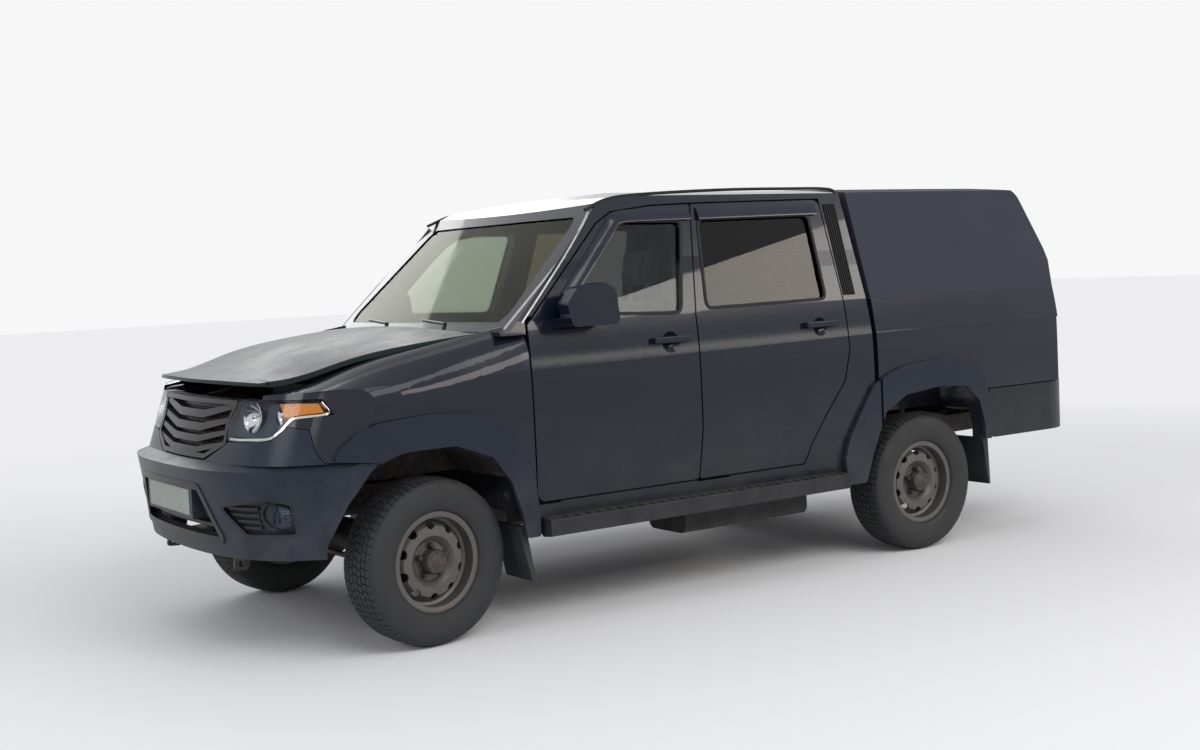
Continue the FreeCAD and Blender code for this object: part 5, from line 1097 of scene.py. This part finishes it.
def pad_block(name, outline, y0, y1):
    """Slightly undersized block with round edges, remeshed evenly for the cloth run."""
    middle = sum((Vector((x, 0, z)) for x, z in outline), Vector()) / len(outline)
    shape = bmesh.new()
    rings = []
    for y in (y0 + PAD_START, y1 - PAD_START):
        ring = []
        for x, z in outline:
            corner = Vector((x, 0, z))
            corner += (middle - corner).normalized() * PAD_START * PAD_CORNER
            ring.append(shape.verts.new((corner.x, y, corner.z)))
        rings.append(ring)
    count = len(outline)
    for i in range(count):
        n = (i + 1) % count
        shape.faces.new((rings[0][i], rings[0][n], rings[1][n], rings[1][i]))
    shape.faces.new(rings[0])
    shape.faces.new(list(reversed(rings[1])))
    bmesh.ops.bevel(shape, geom=shape.edges[:], offset=PAD_BEVEL, offset_type="OFFSET", segments=3,
                    profile=0.5, affect="EDGES", material=-1)
    piece = finish_mesh(shape, name, CLOTH)
    remesh = piece.modifiers.new("Remesh", "REMESH")
    remesh.mode = "VOXEL"
    remesh.voxel_size = VOXEL
    apply_modifiers(piece)
    return piece


def apply_modifiers(piece):
    """Bakes a piece's modifiers into its mesh."""
    graph = bpy.context.evaluated_depsgraph_get()
    made = bpy.data.meshes.new_from_object(piece.evaluated_get(graph))
    piece.modifiers.clear()
    piece.data = made


def swell(pads):
    """Blows the pads up as stuffed cloth; no point moves further than the cap."""
    for pad in pads:
        cloth = pad.modifiers.new("Cloth", "CLOTH").settings
        cloth.use_pressure = True
        cloth.uniform_pressure_force = CLOTH_PRESSURE
        cloth.effector_weights.gravity = 0.0
        cloth.quality = 4
    for number in range(1, CLOTH_FRAMES + 1):
        bpy.context.scene.frame_set(number)
    graph = bpy.context.evaluated_depsgraph_get()
    for pad in pads:
        puffed = [v.co.copy() for v in pad.evaluated_get(graph).data.vertices]
        pad.modifiers.clear()
        for vertex, place in zip(pad.data.vertices, puffed):
            step = place - vertex.co
            if step.length > SWELL_CAP:
                step *= SWELL_CAP / step.length
            vertex.co += step
    bpy.context.scene.frame_set(1)


def press_seams(pad, axis, facing, centres, half, cross):
    """Sewn channels: two along each seat's panel and some across it, where the pad faces one way."""
    subdivide = pad.modifiers.new("Subdivision", "SUBSURF")
    subdivide.levels = 1
    apply_modifiers(pad)
    facing = Vector(facing)
    for vertex in pad.data.vertices:
        if vertex.normal.dot(facing) < SEAM_FACING:
            continue
        off = min((abs(vertex.co.y - c) for c in centres))
        away = abs(off - half)
        if off < half:
            away = min([away] + [abs(vertex.co[axis] - c) for c in cross])
        if away < SEAM_WIDTH:
            vertex.co -= vertex.normal * SEAM_DEPTH * (1 - (away / SEAM_WIDTH) ** 2) ** 2
    pad.data.shade_smooth()


def copied_pad(pad, name, shift=0.0, mirror=False):
    """The same pad further along Y, or its mirror image on the other side."""
    data = pad.data.copy()
    piece = bpy.data.objects.new(name, data)
    bpy.context.scene.collection.objects.link(piece)
    if mirror:
        data.transform(Matrix.Scale(-1, 4, (0, 1, 0)))
        data.flip_normals()
    else:
        data.transform(Matrix.Translation((0, shift, 0)))
    return piece


def declare_pad(pad, node):
    """Puts one pad on the chassis in place of a CAD seat, which it hides."""
    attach(pad, "chassis")
    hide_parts(node)


def make_seat_frames():
    """Plain bases of the seats and the posts of the front head rests."""
    front = bmesh.new()
    for side in (1, -1):
        y = side * SEAT_Y
        low = (SEAT_X - BASE_REAR, y - BASE_HALF, CABIN_FLOOR)
        high = (SEAT_X + BASE_FRONT, y + BASE_HALF, BASE_TOP)
        add_block(front, low, high, BASE_BEVEL)
        for s in (1, -1):
            path = smooth_path([(SEAT_X + x, y + s * POST_HALF, z) for x, z in (POST_FOOT, POST_HEAD)])
            sweep(front, path, round_section(POST_WIRE), (1, 0, 0))
    frames = new_piece(front, "front_seat_frames", INSIDE, "chassis")
    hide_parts("front_seats")
    rear = bmesh.new()
    add_block(rear, BENCH_BASE_LOW, BENCH_BASE_HIGH, BASE_BEVEL)
    frames = new_piece(rear, "bench_base", INSIDE, "chassis")
    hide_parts("rear_bench")


def make_seats():
    """Stuffed pads of both front seats and the bench, with their sewn channels."""
    y0, y1 = SEAT_Y - SEAT_HALF, SEAT_Y + SEAT_HALF
    cushion = pad_block("seat_left_cushion", CUSHION, y0, y1)
    back = pad_block("seat_left_back", BACK, y0, y1)
    head = pad_block("seat_left_head_rest", HEAD, SEAT_Y - HEAD_HALF, SEAT_Y + HEAD_HALF)
    bench = pad_block("bench_cushion", BENCH_CUSHION, -BENCH_HALF, BENCH_HALF)
    bench_back = pad_block("bench_back", BENCH_BACK, -BENCH_HALF, BENCH_HALF)
    y0, y1 = BENCH_HEADS[0] - BENCH_HEAD_HALF, BENCH_HEADS[0] + BENCH_HEAD_HALF
    bench_head = pad_block("bench_head_rest_0", BENCH_HEAD, y0, y1)
    pads = [cushion, back, head, bench, bench_back, bench_head]
    swell(pads)
    for pad, seams in zip(pads, SEAMS):
        press_seams(pad, *seams)
    for pad, word in ((cushion, "cushion"), (back, "back"), (head, "head_rest")):
        declare_pad(pad, "front_seats")
        declare_pad(copied_pad(pad, "seat_right_" + word, mirror=True), "front_seats")
    for pad in (bench, bench_back, bench_head):
        declare_pad(pad, "rear_bench")
    for k in (1, 2):
        other = copied_pad(bench_head, "bench_head_rest_%d" % k, BENCH_HEADS[k] - BENCH_HEADS[0])
        declare_pad(other, "rear_bench")


make_seat_frames()
make_seats()


# Small fittings: mirror strips and glass, and the canopy's side locks
MIRROR_GLASS = metal("mirror glass", (0.75, 0.77, 0.80), 0.04, 1.0, dust_amount=0.05)
MIRROR_STRIP = [(1.042, 0.974, 1.392), (1.0425, 1.010, 1.393), (1.042, 1.044, 1.394)]
MIRROR_BACK_X = 0.772
MIRROR_BACK_LEAN = 0.018 / 0.155
MIRROR_LOW_Z = 1.345
MIRROR_STRIP_SIZE = (0.018, 0.004)
MIRROR_STRIP_FACING = (1, 0, -0.25)
MIRROR_PANE_GAP = 0.002
MIRROR_PANE_LOW = [(0.984, 1.365), (1.034, 1.365)]
MIRROR_PANE_HIGH = [(0.984, 1.480), (1.034, 1.480)]
CANOPY_LOCK = (-1.948, 0.905, 1.266)
CANOPY_LOCK_PROFILE = [(-0.006, 0.003), (-0.006, 0.016), (0.003, 0.016), (0.006, 0.013), (0.006, 0.005),
                       (0.003, 0.003)]


def mirror_back(side):
    """Points just behind one mirror housing's rear face."""
    def point(y, z, inset):
        x = MIRROR_BACK_X + MIRROR_BACK_LEAN * (z - MIRROR_LOW_Z) - MIRROR_PANE_GAP + inset
        return Vector((x, side * y, z))
    return point


def make_mirror_parts():
    """Bright strip and mirror glass of each door mirror."""
    for side, word in ((1, "left"), (-1, "right")):
        strip = bmesh.new()
        path = smooth_path([(x, side * y, z) for x, y, z in MIRROR_STRIP], 6)
        sweep(strip, path, rounded_section(*MIRROR_STRIP_SIZE), MIRROR_STRIP_FACING)
        new_piece(strip, "mirror_strip_" + word, CHROME, "door_front_" + word)
        pane = bmesh.new()
        surface_patch(pane, MIRROR_PANE_LOW, MIRROR_PANE_HIGH, mirror_back(side), 0.0, 6, 10, 0.0015)
        new_piece(pane, "mirror_glass_" + word, MIRROR_GLASS, "door_front_" + word)


def make_canopy_locks():
    """Round lock on each side of the canopy."""
    shape = bmesh.new()
    x, y, z = CANOPY_LOCK
    for side in (1, -1):
        turn = Matrix.Translation((x, side * y, z)) @ Matrix.Rotation(side * math.pi / 2, 4, "Z")
        add_turned(shape, CANOPY_LOCK_PROFILE, turn, 28)
    new_piece(shape, "canopy_side_locks", TRIM_LINE, "chassis")


make_mirror_parts()
make_canopy_locks()


# Camera, floor, backdrop and lights
EYE = (4.7206, 6.6442, 1.5962)
LOOKS_ALONG = (-0.56255, -0.82381, -0.06975)
ROLL = -0.0463
SENSOR_WIDTH = 36.0
LENS = 45.38
VIEW_END = 200.0
FLOOR_HALF = 60.0
FLOOR_COLOR = (0.92, 0.92, 0.93, 1.0)
FLOOR_FAR_COLOR = (0.85, 0.85, 0.87, 1.0)
FLOOR_FAR_FROM = 3.0
FLOOR_FAR_TO = 9.0
SKY_LIGHT = (0.86, 0.88, 0.92, 1.0)
SKY_SHOWN = (0.93, 0.93, 0.94, 1.0)
SKY_STRENGTH = 0.55
WHITE = (1.0, 1.0, 1.0)
WARM = (1.0, 0.93, 0.84)
LIGHTS = [("key", (1.0, 7.5, 6.5), (0.0, 0.0, 0.6), (7.0, 3.0), 280.0, WHITE),
          ("front", (8.0, 2.0, 3.6), (1.5, 0.0, 0.8), (3.0, 2.0), 90.0, WHITE),
          ("streak", (-5.2, 7.8, 4.3), (0.0, 0.9, 1.2), (6.0, 1.4), 190.0, WARM),
          ("far", (-1.0, -8.0, 4.5), (0.0, 0.0, 1.0), (7.0, 2.5), 160.0, WHITE)]


def place_camera():
    """Camera fitted to the photograph's wheels, tyres and plate."""
    forward = Vector(LOOKS_ALONG).normalized()
    level = forward.cross(Vector((0, 0, 1))).normalized()
    upright = level.cross(forward)
    right = level * math.cos(ROLL) + upright * math.sin(ROLL)
    up = upright * math.cos(ROLL) - level * math.sin(ROLL)
    turn = Matrix((right, up, -forward)).transposed()
    data = bpy.data.cameras.new("Camera")
    data.sensor_width = SENSOR_WIDTH
    data.lens = LENS
    data.clip_end = VIEW_END
    camera = bpy.data.objects.new("Camera", data)
    camera.matrix_world = Matrix.Translation(EYE) @ turn.to_4x4()
    bpy.context.scene.collection.objects.link(camera)
    bpy.context.scene.camera = camera


def area_light(name, place, target, size, energy, color):
    """Rectangular lamp aimed at a target point."""
    data = bpy.data.lights.new(name, "AREA")
    data.shape = "RECTANGLE"
    data.size, data.size_y = size
    data.energy = energy
    data.color = color
    light = bpy.data.objects.new(name, data)
    aim = Vector(target) - Vector(place)
    light.matrix_world = Matrix.Translation(place) @ aim.to_track_quat("-Z", "Y").to_matrix().to_4x4()
    bpy.context.scene.collection.objects.link(light)


def seen_directly(tree):
    """1 where a ray comes from the camera, through glass or off a shiny surface; 0 where it only lights."""
    path = tree.nodes.new("ShaderNodeLightPath")
    seen = math_node(tree, "MAXIMUM", path.outputs["Is Camera Ray"], path.outputs["Is Transmission Ray"])
    return math_node(tree, "MAXIMUM", seen, path.outputs["Is Glossy Ray"])


def backdrop_material():
    """Pale floor that keeps the shadow near the truck and goes over to plain pale grey far from it."""
    material, tree, surface = new_material("backdrop")
    surface.inputs["Base Color"].default_value = FLOOR_COLOR
    surface.inputs["Roughness"].default_value = 0.9
    surface.inputs["Specular IOR Level"].default_value = 0.1
    shown = add_node(tree, "ShaderNodeEmission", Color=FLOOR_FAR_COLOR, Strength=1.0)
    distance = tree.nodes.new("ShaderNodeVectorMath")
    distance.operation = "LENGTH"
    join(tree, coordinates(tree).outputs["Object"], distance.inputs[0])
    far = ramp(tree, distance.outputs["Value"], FLOOR_FAR_FROM, FLOOR_FAR_TO)
    mixed = tree.nodes.new("ShaderNodeMixShader")
    join(tree, math_node(tree, "MULTIPLY", far, seen_directly(tree)), mixed.inputs[0])
    join(tree, surface.outputs[0], mixed.inputs[1])
    join(tree, shown.outputs[0], mixed.inputs[2])
    join(tree, mixed.outputs[0], tree.nodes["Material Output"].inputs["Surface"])
    return material


def make_floor():
    """Wide floor at the ground, a staging piece that isn't part of the truck."""
    shape = bmesh.new()
    bmesh.ops.create_grid(shape, x_segments=1, y_segments=1, size=FLOOR_HALF)
    data = bpy.data.meshes.new("floor")
    shape.to_mesh(data)
    shape.free()
    floor = bpy.data.objects.new("floor", data)
    bpy.context.scene.collection.objects.link(floor)
    data.materials.append(backdrop_material())


def make_world():
    """Even studio light, with a paler backdrop where it is seen."""
    world = bpy.data.worlds.new("World")
    bpy.context.scene.world = world
    world.use_nodes = True
    tree = world.node_tree
    light = tree.nodes["Background"]
    light.inputs["Color"].default_value = SKY_LIGHT
    light.inputs["Strength"].default_value = SKY_STRENGTH
    shown = tree.nodes.new("ShaderNodeBackground")
    shown.inputs["Color"].default_value = SKY_SHOWN
    shown.inputs["Strength"].default_value = 1.0
    mixed = tree.nodes.new("ShaderNodeMixShader")
    join(tree, seen_directly(tree), mixed.inputs[0])
    join(tree, light.outputs[0], mixed.inputs[1])
    join(tree, shown.outputs[0], mixed.inputs[2])
    join(tree, mixed.outputs[0], tree.nodes["World Output"].inputs["Surface"])


place_camera()
make_floor()
make_world()
for lamp in LIGHTS:
    area_light(*lamp)
bpy.context.scene.view_settings.view_transform = "Standard"
